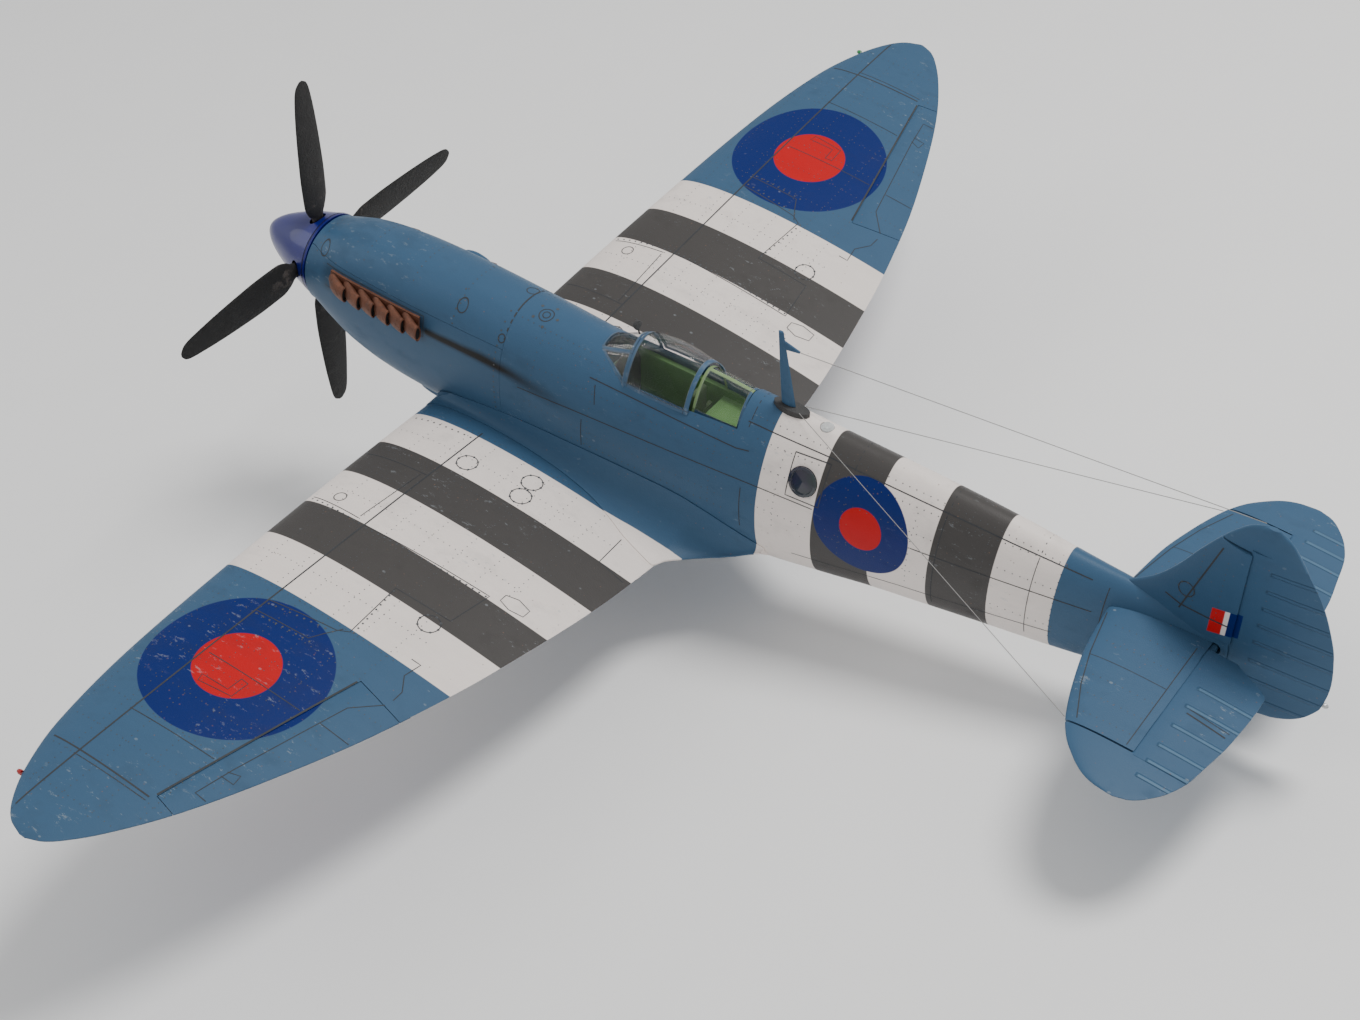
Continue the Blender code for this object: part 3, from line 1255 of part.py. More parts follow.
def build_tail_gear():
    height = tail_wheel_height()
    pintle = (0, TAIL_PINTLE_Y, -0.30)
    leg = add("tail_wheel_leg", rod((0, TAIL_PINTLE_Y, -0.33), (0, TAIL_PINTLE_Y, 0.0), 0.028, 12),
              STEEL, pintle)
    for sign in (1, -1):
        x = sign * 0.046
        join(leg, loft([[Vector((x + dx, y + dy, z)) for dx, dy in
                         ((-0.010, -0.030), (0.010, -0.030), (0.010, 0.030), (-0.010, 0.030))]
                        for y, z in ((TAIL_PINTLE_Y, -0.30), (TAIL_WHEEL_Y, height - 0.03))]))
    join(leg, box((-0.056, 0.056), (TAIL_PINTLE_Y - 0.032, TAIL_PINTLE_Y + 0.032), (-0.345, -0.305)))
    join(leg, rod((-0.060, TAIL_WHEEL_Y, height), (0.060, TAIL_WHEEL_Y, height), 0.012, 10))
    add("tail_wheel", wheel((0, TAIL_WHEEL_Y, height), (1, 0, 0), TAIL_WHEEL_RADIUS, 0.062,
                            0.012 + GAP, 16), RUBBER, (0, TAIL_WHEEL_Y, height))


# ---------------------------------------------------------------- under the wing and inside
def build_radiators():
    for side, sign in SIDES:
        place = to_port if sign > 0 else to_starboard
        outer, inner = [], []
        for y, half, drop in ((3.05, 0.21, 0.20), (3.20, 0.235, 0.235), (3.60, 0.235, 0.230),
                              (3.95, 0.22, 0.160), (RADIATOR_BACK, 0.217, 0.149)):
            x = 1.38
            low = WING.heights(x, y)[1]
            outer.append([place(p) for p in rounded(half, low - drop, low + 0.06, y, x, 0.22)])
        for y, half, drop in ((2.9, 0.185, 0.180), (3.20, 0.20, 0.210), (3.60, 0.20, 0.205),
                              (3.95, 0.19, 0.138), (4.2, 0.18, 0.100)):
            low = WING.heights(1.38, y)[1]
            inner.append([place(p) for p in rounded(half, low - drop, low - 0.022, y, 1.38, 0.22)])
        duct = add(f"radiator_{side}", loft(outer), BLUE)
        shape(duct, loft(inner))
        shape(duct, loft([[place(p) for p in ring] for ring in wing_lower_block()]))


def wing_lower_block():
    """Everything above the wing's lower surface, less the fitting gap."""
    rings = []
    for s in (1.0, 1.38, 1.8):
        ring = []
        for k in range(9):
            y = 2.85 + 1.45 * k / 8
            ring.append(Vector((s, y, WING.heights(s, y)[1] - GAP)))
        rings.append(ring + [Vector((s, 4.30, 0.2)), Vector((s, 2.85, 0.2))])
    return rings


def build_equipment():
    tray = -0.27 + GAP
    add("battery_pack", soften(box((-0.175, 0.175), (1.42, 2.40), (tray, tray + 0.205)), 0.02),
        BATTERY_WRAP)
    add("speed_controller", soften(box((-0.13, 0.13), (1.60, 2.10),
                                       (-0.30 - GAP - 0.10, -0.30 - GAP)), 0.012), DARK)
    shelf = -0.45 + GAP
    add("receiver", soften(box((-0.20, 0.02), (2.88, 3.12), (shelf, shelf + 0.10)), 0.010), DARK)
    for name, x in (("elevator_servo", 0.10), ("rudder_servo", -0.10)):
        servo = add(name, box((x - 0.05, x + 0.05), (3.20, 3.39), (shelf, shelf + 0.19)), BLACK)
        join(servo, box((x - 0.05, x + 0.05), (3.16, 3.43), (shelf + 0.125, shelf + 0.145)))
        join(servo, rod((x, 3.25, shelf + 0.18), (x, 3.25, shelf + 0.225), 0.03, 10))
    for side, sign in SIDES:
        x, y = sign * 3.62, 3.02
        low = WING.heights(abs(x), y)[1]
        add(f"aileron_servo_{side}",
            box((x - 0.10, x + 0.10), (y - 0.10, y + 0.10), (low + 0.004, low + 0.075)), BLACK)
        wing = bpy.data.objects[f"wing_{side}"]
        shape(wing, box((x - 0.10 - GAP, x + 0.10 + GAP), (y - 0.10 - GAP, y + 0.10 + GAP),
                        (low - 0.2, low + 0.075 + GAP)))


def stand_on_floor():
    """Set the model on the floor with its box centred on the origin."""
    bpy.context.view_layer.update()
    corners = [piece.matrix_world @ vert.co for piece in PIECES for vert in piece.data.vertices]
    low = min(c.z for c in corners)
    middle = (min(c.y for c in corners) + max(c.y for c in corners)) / 2
    AIRFRAME.location -= Vector((0, middle, low))


def build_model():
    build_fuselage()
    build_cowls()
    build_wings()
    build_fillets()
    build_belly()
    build_flaps()
    build_ailerons()
    build_spar()
    build_tail()
    build_propeller()
    build_exhausts()
    build_canopy()
    build_cockpit()
    build_fittings()
    build_wires()
    build_main_gear()
    build_tail_gear()
    build_radiators()
    build_equipment()
    stand_on_floor()


build_model()
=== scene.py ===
"""Looks of the RC warbird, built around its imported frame.

Fine skins follow the same drawing as the frame: x to port, y aft from the spinner's tip,
z up from the thrust line, in full-size metres. The matrix DRAWING moves a piece from the
drawing onto the model, and paint maps back through it, so it is laid out on the drawing.
"""
import json
import math

import bmesh
import bpy
from mathutils import Matrix, Vector

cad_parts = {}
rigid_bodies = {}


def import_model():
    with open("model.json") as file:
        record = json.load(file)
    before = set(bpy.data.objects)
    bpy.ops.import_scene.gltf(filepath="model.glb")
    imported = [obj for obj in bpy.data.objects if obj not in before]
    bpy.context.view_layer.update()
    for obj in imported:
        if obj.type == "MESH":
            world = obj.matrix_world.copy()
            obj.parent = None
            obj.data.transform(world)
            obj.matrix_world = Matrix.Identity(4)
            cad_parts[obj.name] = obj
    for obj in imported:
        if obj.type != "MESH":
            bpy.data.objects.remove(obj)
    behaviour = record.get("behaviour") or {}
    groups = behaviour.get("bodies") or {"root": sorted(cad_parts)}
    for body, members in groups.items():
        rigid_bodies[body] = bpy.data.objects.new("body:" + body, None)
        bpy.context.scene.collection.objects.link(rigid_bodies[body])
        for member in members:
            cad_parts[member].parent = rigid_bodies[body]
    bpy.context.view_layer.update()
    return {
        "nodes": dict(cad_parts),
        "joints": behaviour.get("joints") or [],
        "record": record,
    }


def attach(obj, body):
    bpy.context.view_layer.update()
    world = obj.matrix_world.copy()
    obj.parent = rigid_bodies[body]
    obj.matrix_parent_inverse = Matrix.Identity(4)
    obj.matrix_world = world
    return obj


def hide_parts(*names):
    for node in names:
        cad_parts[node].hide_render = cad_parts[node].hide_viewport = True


for item in list(bpy.data.objects):
    bpy.data.objects.remove(item)
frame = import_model()

# ---------------------------------------------------------------- dimensions of the drawing

SCALE = 0.1232                      # model metres per full-size metre, about 1:8.1
PITCH = math.radians(13.0)          # nose-up angle of the model at rest on its wheels
GAP = 0.0003 / SCALE                # 0.3 mm between touching pieces, at full size
SLOT = 0.0007 / SCALE               # clearance at the ends of a moving surface
SKIN = 0.0035 / SCALE               # wall of the moulded fuselage shells
CLEAR_SKIN = 0.0010 / SCALE         # wall of the clear canopy pieces
HALF_SPAN = 5.67
DIHEDRAL = math.tan(math.radians(5.9))
WING_ROOT = 0.47                    # the wing panels' root ribs
WING_ROOT_HEIGHT = -0.665           # chord plane on the centre line
PROP_Y = 0.573
HUB_Z = 0.022                       # the propeller's axis above the datum line
PROP_RADIUS = 1.665
SPINNER_RADIUS = 0.362
SPINNER_BACK = 0.70
COWL_FRONT = 0.715
COWL_BACK = 2.80
COWL_SPLIT = 0.30                   # height of the joint between top hatch and lower cowl
AILERON = dict(inner=(3.25, 3.781), outer=(4.894, 3.443))
FLAP = dict(inner=(0.98, 4.10), outer=(3.18, 3.80))
FLAP_THICK = 0.020
TAIL_HEIGHT = 0.405                 # mean plane of the tailplane
ELEVATOR_HINGE = 8.72
ELEVATOR_HORN = 1.215
RUDDER_HINGE = 8.84
RUDDER_HORN = 1.365
RUDDER_LIP = 0.018                  # the fin's rear lips end this far ahead of the hinge
GEAR_PIVOT = Vector((0.78, 2.70, -0.690))
GEAR_STOWED = math.radians(5.9)     # the retracted leg lies along the wing's dihedral
LEG_LENGTH = 0.98
WHEEL_RADIUS = 0.300
WHEEL_SWEEP = -0.02                 # the axle lies this far aft of the pivot
TAIL_PINTLE_Y = 8.02
CHIN_BACK = 2.10                    # the intake runs on under the belly fairing from here
BELLY_ROOF = -0.560
EXHAUST_FIRST = 1.10
EXHAUST_STEP = 0.158
EXHAUST_HEIGHT = 0.165
GLASS_POWER = 2 / 1.85              # roundness of the canopy's sections
HOOD_FOOT = 0.438
TUB_TOP = 0.355
CAMERA = dict(y=5.54, z=0.355)
CAMERA_RADIUS = 0.118
LIGHT_Y = 5.55
MAST_STATION = 5.06
MAST_FOOT = 0.035                   # height of the mast's dark foot above the spine
SCREEN_FRONT, SCREEN_BACK = 3.575, 3.898
SCREEN_HALF_FRONT, SCREEN_HALF_BACK = 0.118, 0.272
SCREEN_TOP_FRONT, SCREEN_TOP_BACK = 0.575, 0.750
REAR_FRONT, REAR_BACK = 4.497, 4.908
TIP_START = 4.9                     # the wing's rings draw together from this span
SIDES = (("left", 1), ("right", -1))


def model(length):
    """A length given in model millimetres, at full size."""
    return length / 1000 / SCALE


FILLET_LIFT = model(0.9)            # how far the fairing's edge stands proud of the wing


def smooth(points):
    """Monotone cubic curve through (position, value) pairs, held flat past its ends."""
    xs = [p[0] for p in points]
    ys = [p[1] for p in points]
    rise = [(ys[i + 1] - ys[i]) / (xs[i + 1] - xs[i]) for i in range(len(xs) - 1)]
    slope = [rise[0]]
    for a, b in zip(rise, rise[1:]):
        slope.append(2 * a * b / (a + b) if a * b > 0 else 0.0)
    slope.append(rise[-1])

    def value(x):
        if x <= xs[0]:
            return ys[0]
        if x >= xs[-1]:
            return ys[-1]
        i = max(k for k in range(len(xs) - 1) if xs[k] <= x)
        h = xs[i + 1] - xs[i]
        t = (x - xs[i]) / h
        return (ys[i] * (1 + 2 * t) * (1 - t) ** 2 + slope[i] * h * t * (1 - t) ** 2
                + ys[i + 1] * t * t * (3 - 2 * t) + slope[i + 1] * h * t * t * (t - 1))
    return value


def column(table, index):
    return smooth([(row[0], row[index]) for row in table])


# station, half width, height of the widest level, top, bottom, roundness above and below
HULL = [
    (0.74, 0.365, 0.01, 0.375, -0.375, 2.1, 2.1),
    (0.90, 0.375, 0.00, 0.430, -0.530, 2.3, 2.2),
    (1.10, 0.390, 0.00, 0.492, -0.650, 2.4, 2.3),
    (1.40, 0.400, -0.02, 0.540, -0.730, 2.5, 2.4),
    (1.70, 0.410, -0.03, 0.562, -0.752, 2.5, 2.5),
    (2.20, 0.422, -0.05, 0.572, -0.757, 2.4, 2.6),
    (2.80, 0.432, -0.07, 0.565, -0.757, 2.2, 2.7),
    (3.40, 0.435, -0.09, 0.558, -0.757, 1.95, 2.7),
    (3.90, 0.430, -0.10, 0.600, -0.757, 1.80, 2.7),
    (4.40, 0.422, -0.10, 0.660, -0.765, 1.70, 2.6),
    (4.90, 0.402, -0.08, 0.703, -0.780, 1.65, 2.4),
    (5.20, 0.382, -0.05, 0.703, -0.755, 1.70, 2.3),
    (5.67, 0.360, -0.03, 0.695, -0.660, 1.74, 2.2),
    (6.15, 0.333, 0.00, 0.685, -0.545, 1.82, 2.2),
    (6.63, 0.304, 0.05, 0.674, -0.460, 1.87, 2.2),
    (7.10, 0.265, 0.10, 0.657, -0.385, 1.92, 2.2),
    (7.58, 0.220, 0.14, 0.628, -0.312, 1.92, 2.2),
    (8.00, 0.172, 0.18, 0.608, -0.238, 1.92, 2.2),
    (8.40, 0.118, 0.21, 0.602, -0.158, 1.90, 2.2),
    (8.825, 0.064, 0.25, 0.600, -0.062, 1.90, 2.2),
]
hull_width, hull_mid, hull_top, hull_bottom, hull_upper, hull_lower = (
    column(HULL, k) for k in range(1, 7))


def hull_point(y, turn, inset=0.0):
    """Point of the fuselage section at station y; turn 0 is port, a quarter turn is up."""
    c, s = math.cos(turn), math.sin(turn)
    power = 2 / (hull_upper(y) if s >= 0 else hull_lower(y))
    height = (hull_top(y) - hull_mid(y) if s >= 0 else hull_mid(y) - hull_bottom(y)) - inset
    width = hull_width(y) - inset
    return Vector((math.copysign(width * abs(c) ** power, c), y,
                   hull_mid(y) + math.copysign(height * abs(s) ** power, s)))


def hull_turn(y, z):
    """The turn at which the port side of the section passes height z."""
    over = z >= hull_mid(y)
    height = hull_top(y) - hull_mid(y) if over else hull_mid(y) - hull_bottom(y)
    power = 2 / (hull_upper(y) if over else hull_lower(y))
    share = min(1.0, abs(z - hull_mid(y)) / height)
    return math.copysign(math.asin(share ** (1 / power)), z - hull_mid(y))


def hull_surface(y, x):
    """Height of the fuselage's upper surface at station y and distance x off the centre."""
    power = 2 / hull_upper(y)
    c = min(1.0, abs(x) / hull_width(y)) ** (1 / power)
    return hull_mid(y) + (hull_top(y) - hull_mid(y)) * math.sqrt(1 - c * c) ** power


def hull_ring(y, inset=0.0, count=28):
    return [hull_point(y, math.tau * (k + 0.5) / count, inset) for k in range(count)]


def arc_shell_ring(y, start, end, wall, count=12):
    """Closed section of a curved shell that follows the fuselage from one turn to another."""
    turns = [start + (end - start) * k / count for k in range(count + 1)]
    outer = [hull_point(y, t) for t in turns]
    inner = [hull_point(y, t, wall) for t in turns]
    return outer + inner[::-1]


def section_shape(c):
    """Half thickness of a symmetric wing section at share c of its chord."""
    return (0.2969 * math.sqrt(c) - 0.126 * c - 0.3516 * c ** 2 + 0.2843 * c ** 3
            - 0.1036 * c ** 4)


class Surface:
    """A wing or tail surface given by its plan outline, thickness and mean height."""

    def __init__(self, lead, trail, thick, mean, camber=0.0, edge=0.008):
        self.lead, self.trail, self.thick, self.mean = lead, trail, thick, mean
        self.camber, self.edge = camber, edge

    def heights(self, s, y):
        chord = self.trail(s) - self.lead(s)
        c = min(1.0, max(0.0, (y - self.lead(s)) / chord))
        half = 5 * self.thick(s) * chord * section_shape(c) + 0.5 * self.edge * c
        bow = self.camber * chord * 4 * c * (1 - c)
        middle = self.mean(s, y) + bow
        return middle + half, middle - half

    def ring(self, s, count=10):
        """Closed section at span s, from the trailing edge over the top and back below."""
        lead, trail = self.lead(s), self.trail(s)
        upper, lower = [], []
        for k in range(count + 1):
            y = lead + (trail - lead) * (1 - math.cos(math.pi * k / count)) / 2
            top, bottom = self.heights(s, y)
            upper.append(Vector((s, y, top)))
            lower.append(Vector((s, y, bottom)))
        return upper[::-1] + lower[1:]


WING = Surface(
    lead=smooth([(0.0, 2.030), (1.5, 2.083), (2.93, 2.165), (4.0, 2.257), (4.8, 2.395),
                 (5.25, 2.555), (5.50, 2.705), (5.62, 2.830), (HALF_SPAN, 2.960)]),
    trail=smooth([(0.0, 4.610), (1.2, 4.570), (2.5, 4.395), (3.5, 4.160), (4.3, 3.885),
                  (4.9, 3.630), (5.3, 3.400), (5.50, 3.250), (5.62, 3.125), (HALF_SPAN, 3.010)]),
    thick=smooth([(0.0, 0.126), (HALF_SPAN, 0.085)]),
    mean=lambda s, y: WING_ROOT_HEIGHT + DIHEDRAL * s
    - 0.033 * (1 - s / HALF_SPAN) * (y - 2.0 - 0.03 * s),
    camber=0.012, edge=0.010)
TAILPLANE = Surface(
    lead=smooth([(0.0, 7.947), (0.55, 8.007), (0.83, 8.074), (1.17, 8.190), (1.33, 8.280),
                 (1.44, 8.382), (1.53, 8.494), (1.575, 8.602), (1.590, 8.702)]),
    trail=smooth([(0.0, 8.780), (0.125, 8.930), (0.285, 9.205), (0.40, 9.208), (0.77, 9.187),
                  (1.03, 9.144), (1.22, 9.107), (1.37, 9.042), (1.47, 8.967), (1.56, 8.862),
                  (1.590, 8.762)]),
    thick=lambda s: 0.095 - 0.015 * s,
    mean=lambda s, y: TAIL_HEIGHT)
FIN = Surface(
    lead=smooth([(0.45, 7.84), (0.60, 8.010), (0.70, 8.135), (0.79, 8.224), (0.96, 8.343),
                 (1.16, 8.455), (1.34, 8.567), (1.49, 8.680), (1.57, 8.765), (1.610, 8.860)]),
    trail=smooth([(-0.065, 9.080), (-0.045, 9.190), (0.06, 9.375), (0.155, 9.455),
                  (0.27, 9.512), (0.47, 9.533), (0.74, 9.500), (0.98, 9.419), (1.19, 9.315),
                  (1.32, 9.222), (1.46, 9.122), (1.55, 9.045), (1.610, 8.950)]),
    thick=lambda s: 0.080,
    mean=lambda s, y: 0.0)


def to_port(p):
    return Vector((p[0], p[1], p[2]))


def to_starboard(p):
    return Vector((-p[0], p[1], p[2]))


HALVES = (("left", to_port), ("right", to_starboard))


class Hinged:
    """The moving rear part of a surface, behind a hinge line from one point to another."""

    def __init__(self, surface, inner, outer):
        self.surface = surface
        self.inner, self.outer = Vector(inner), Vector(outer)
        self.span = (self.outer - self.inner).length
        along = (self.outer - self.inner) / self.span
        self.aft = Vector((-along.y, along.x))

    def at(self, share, distance=0.0):
        return self.inner.lerp(self.outer, share) + self.aft * distance

    def axis_point(self, share):
        p = self.at(share)
        top, bottom = self.surface.heights(p.x, p.y)
        return Vector((p.x, p.y, (top + bottom) / 2))

    def depth(self, share):
        near, far = 0.0, 1.2
        for _ in range(30):
            middle = (near + far) / 2
            p = self.at(share, middle)
            if p.y < self.surface.trail(p.x):
                near = middle
            else:
                far = middle
        return near

    def nose(self, share, swell):
        """Round nose about the hinge, from above it forwards to below it."""
        p = self.at(share)
        top, bottom = self.surface.heights(p.x, p.y)
        radius = (top - bottom) / 2 + swell
        points = []
        for k in range(7):
            turn = math.pi * k / 6
            q = self.at(share, -radius * math.sin(turn))
            points.append(Vector((q.x, q.y, (top + bottom) / 2 + radius * math.cos(turn))))
        return points

    def moving_ring(self, share):
        depth = self.depth(share)
        upper, lower = [], []
        for f in (0.35, 0.7, 1.0):
            p = self.at(share, depth * f)
            top, bottom = self.surface.heights(p.x, p.y)
            upper.append(Vector((p.x, p.y, top)))
            lower.append(Vector((p.x, p.y, bottom)))
        return upper[::-1] + self.nose(share, -0.5 * GAP) + lower

    def pocket_ring(self, share):
        """The room that the moving part needs in the fixed one."""
        tall = 0.25
        far = self.at(share, self.depth(min(1.0, max(0.0, share))) + tall)
        near = self.at(share)
        top, bottom = self.surface.heights(near.x, near.y)
        return [Vector((near.x, near.y, top + tall))] + self.nose(share, 1.5 * GAP) + [
            Vector((near.x, near.y, bottom - tall)), Vector((far.x, far.y, bottom - tall)),
            Vector((far.x, far.y, top + tall))]

    def square(self, share, ring):
        """Lean an upright section until it stands square to the hinge's axis."""
        slope = (self.axis_point(1.0).z - self.axis_point(0.0).z) / self.span
        along = (self.outer - self.inner) / self.span
        level = self.axis_point(share).z
        return [p + Vector((along.x, along.y, 0)) * (level - p.z) * slope for p in ring]

    def moving(self, stations=5, place=to_port):
        shares = [k / (stations - 1) for k in range(stations)]
        return loft([[place(p) for p in self.square(t, self.moving_ring(t))] for t in shares])

    def pocket(self, stations=5, place=to_port):
        extra = SLOT / self.span
        shares = [-extra + (1 + 2 * extra) * k / (stations - 1) for k in range(stations)]
        return loft([[place(p) for p in self.square(t, self.pocket_ring(t))] for t in shares])


def skin_rows(bm, rings):
    """Vertex rows along rings of equal count, with faces between them."""
    rows = [[bm.verts.new(p) for p in ring] for ring in rings]
    for a, b in zip(rows, rows[1:]):
        for i in range(len(a)):
            j = (i + 1) % len(a)
            bm.faces.new((a[i], a[j], b[j], b[i]))
    return rows


def loft(rings):
    """Solid through rings of equal count, capped at both ends."""
    bm = bmesh.new()
    rows = skin_rows(bm, rings)
    bm.faces.new(rows[0][::-1])
    bm.faces.new(rows[-1])
    bmesh.ops.recalc_face_normals(bm, faces=bm.faces)
    return bm


def circle(centre, axis, radius, count):
    axis = Vector(axis).normalized()
    side = axis.orthogonal().normalized()
    across = axis.cross(side)
    turns = [math.tau * (k + 0.5) / count for k in range(count)]
    return [Vector(centre) + radius * (side * math.cos(t) + across * math.sin(t))
            for t in turns]


def rod(start, end, radius, count=12):
    along = Vector(end) - Vector(start)
    return loft([circle(point, along, radius, count) for point in (start, end)])


def capped_turn(centre, axis, profile, count=24):
    """Solid turned part whose open profile starts and ends on the axis."""
    axis = Vector(axis).normalized()
    rings = [circle(Vector(centre) + axis * h, axis, r, count) for r, h in profile if r > 0]
    bm = bmesh.new()
    rows = skin_rows(bm, rings)
    for row, (_, h) in ((rows[0], profile[0]), (rows[-1], profile[-1])):
        tip = bm.verts.new(Vector(centre) + axis * h)
        for i in range(count):
            bm.faces.new((row[i], row[(i + 1) % count], tip))
    bmesh.ops.recalc_face_normals(bm, faces=bm.faces)
    return bm


def prism(outline, start, end, place):
    """Plan outline of (a, b) pairs swept from one height to another through place(a, b, h)."""
    return loft([[place(a, b, start) for a, b in outline], [place(a, b, end) for a, b in outline]])


def plan(a, b, h):
    return Vector((a, b, h))


COCKPIT = [(3.585, 0.110), (3.90, 0.245), (4.45, 0.245), (4.915, 0.228)]


def cockpit_outline():
    port = [(w, y) for y, w in COCKPIT]
    return port + [(-w, y) for w, y in port[::-1]]


def rounded(half, low, high, y, corner=0.35, count=4):
    """Rounded rectangle across the airframe at station y."""
    radius = corner * min(2 * half, high - low)
    points = []
    for quarter, (sx, sz) in enumerate(((1, 1), (-1, 1), (-1, -1), (1, -1))):
        for k in range(count):
            turn = math.pi / 2 * (quarter + k / (count - 1))
            points.append(Vector((sx * (half - radius) + radius * math.cos(turn), y,
                                  (high - radius if sz > 0 else low + radius)
                                  + radius * math.sin(turn))))
    return points


FILLET = [  # station, inner face, distance out to its edge, that edge's height, top's height
    (2.049, 0.250, 0.484, None, -0.595), (2.080, 0.250, 0.484, None, -0.535),
    (2.112, 0.402, 0.486, None, -0.490), (2.200, 0.400, 0.488, None, -0.435),
    (2.380, 0.390, 0.492, None, -0.390), (2.700, 0.390, 0.500, None, -0.325),
    (3.050, 0.390, 0.512, None, -0.282), (3.440, 0.390, 0.540, None, -0.262),
    (3.790, 0.390, 0.595, None, -0.250), (4.050, 0.390, 0.680, None, -0.245),
    (4.260, 0.380, 0.765, None, -0.245), (4.450, 0.350, 0.815, None, -0.250),
    (4.575, 0.320, 0.840, None, -0.262), (4.635, 0.300, 0.750, -0.628, -0.275),
    (4.720, 0.300, 0.660, -0.636, -0.295), (4.830, 0.300, 0.560, -0.638, -0.325),
    (4.950, 0.290, 0.475, -0.630, -0.365), (5.060, 0.280, 0.415, -0.600, -0.405),
    (5.160, 0.270, 0.378, -0.550, -0.445), (5.250, 0.260, 0.358, -0.505, -0.480),
]


def hull_underside(y, x):
    """Height of the fuselage's lower surface at station y and distance x off the centre."""
    power = 2 / hull_lower(y)
    c = min(1.0, abs(x) / hull_width(y)) ** (1 / power)
    return hull_mid(y) - (hull_mid(y) - hull_bottom(y)) * math.sqrt(1 - c * c) ** power


def fillet_ring(y, inside, foot, foot_z, top_z):
    """Concave sweep between the fuselage's side and the wing's top at station y."""
    if foot_z is None:
        top, bottom = WING.heights(foot, min(y, WING.trail(foot)))
        foot_z, floor = top + FILLET_LIFT, bottom - model(0.3)
    else:
        floor = hull_underside(y, inside) - model(1.5)
    side = hull_point(y, hull_turn(y, top_z)).x + FILLET_LIFT
    start, end = Vector((foot, y, foot_z)), Vector((side, y, top_z))
    corner = Vector((side + 0.04 * (foot - side), y, foot_z + 0.03 * (top_z - foot_z)))
    points = [Vector((inside, y, floor)), Vector((foot, y, foot_z - model(1.8))), start]
    for k in range(1, 9):
        t = k / 8
        points.append(start * (1 - t) ** 2 + corner * 2 * t * (1 - t) + end * t * t)
    points.append(Vector((inside, y, top_z)))
    return points


def wing_root_room():
    """The wing's inner end, swollen by the fitting gap."""
    rings = []
    for s in (WING_ROOT - 0.012, WING_ROOT, 0.8, 1.3):
        ring = WING.ring(s)
        count = len(ring)
        swollen = []
        for k, p in enumerate(ring):
            along = ring[(k + 1) % count] - ring[k - 1]
            out = Vector((0, -along.z, along.y)).normalized()
            swollen.append(p - out * GAP * 1.2)
        rings.append(swollen)
    return rings


BELLY = [  # station, half width, height of the edge, height of the underside
    (2.125, WING_ROOT, -0.660, -0.700), (2.22, WING_ROOT, -0.720, -0.775),
    (2.45, WING_ROOT, -0.768, -0.806), (2.85, WING_ROOT, -0.788, -0.812),
    (3.60, WING_ROOT, -0.788, -0.812), (4.00, WING_ROOT, -0.760, -0.812),
    (4.35, WING_ROOT, -0.728, -0.810), (4.56, WING_ROOT - 0.004, -0.712, -0.808),
    (4.75, 0.360, -0.730, -0.806), (4.92, 0.240, -0.750, -0.802),
]


def belly_blank(grow=0.0):
    """The centre section's underside, with a flat pad that the model can be cradled on."""
    rings = []
    for k, (y, half, edge, low) in enumerate(BELLY):
        ends = -grow if k == 0 else grow if k == len(BELLY) - 1 else 0.0
        half += grow - GAP
        ring = [Vector((sign * half * share, y + ends, height - grow * (height < BELLY_ROOF)))
                for sign, share, height in (
                    (1, 1.0, BELLY_ROOF), (1, 1.0, edge), (1, 0.62, low),
                    (-1, 0.62, low), (-1, 1.0, edge), (-1, 1.0, BELLY_ROOF))]
        for p in (ring[0], ring[-1]):
            p.z += grow
        rings.append(ring)
    return loft(rings)


def aileron():
    return Hinged(WING, AILERON["inner"], AILERON["outer"])


def stowed(u, v, h):
    """A point beside the retracted leg: along it, aft of its pivot, and up into the wing."""
    along = Vector((math.cos(GEAR_STOWED), 0, math.sin(GEAR_STOWED)))
    up = Vector((-math.sin(GEAR_STOWED), 0, math.cos(GEAR_STOWED)))
    return GEAR_PIVOT + along * u + Vector((0, v, 0)) + up * h


def round_outline(centre, radius, count, start=0.0, end=math.tau):
    whole = abs(end - start - math.tau) < 1e-6
    steps = count if whole else count - 1
    return [(centre[0] + radius * math.cos(start + (end - start) * k / steps),
             centre[1] + radius * math.sin(start + (end - start) * k / steps))
            for k in range(count)]


def door_outline(grow=0.0):
    """Leg door: narrow beside the leg and as wide as the wheel at its outer end."""
    reach, half = LEG_LENGTH + 0.06, WHEEL_RADIUS * 0.93 + grow
    return [(0.10 - grow, -0.075 - grow), (0.50, -0.105 - grow), (0.70, -half * 0.72),
            (0.84, -half * 0.95 + WHEEL_SWEEP), (reach + grow, -half + WHEEL_SWEEP),
            (reach + grow, half + WHEEL_SWEEP), (0.84, half * 0.95 + WHEEL_SWEEP),
            (0.70, half * 0.72), (0.50, 0.105 + grow), (0.10 - grow, 0.075 + grow)]


def flap_ring(share, lift, drop, ahead, behind, place):
    """Section of a split flap: a thin plate let into the wing's lower surface."""
    hinge = Hinged(WING, FLAP["inner"], FLAP["outer"])
    depth = hinge.depth(min(1.0, max(0.0, share)))
    points = []
    for f in (0.0, 0.5, 1.0):
        p = hinge.at(share, -ahead if f == 0 else depth * f - 0.02 + behind * (f == 1.0))
        low = WING.heights(p.x, p.y)[1]
        points.append(Vector((p.x, p.y, low - drop)))
    for f in (1.0, 0.5, 0.0):
        p = hinge.at(share, -ahead if f == 0 else depth * f - 0.02 + behind * (f == 1.0))
        top, low = WING.heights(p.x, p.y)
        thick = min(FLAP_THICK, 0.42 * (top - low))
        points.append(Vector((p.x, p.y, low + thick + lift)))
    return [place(p) for p in points]


def flap_pocket(place):
    shares = [-0.004, 0.25, 0.5, 0.75, 1.004]
    return loft([flap_ring(t, GAP, 0.08, 0.012, 0.06, place) for t in shares])


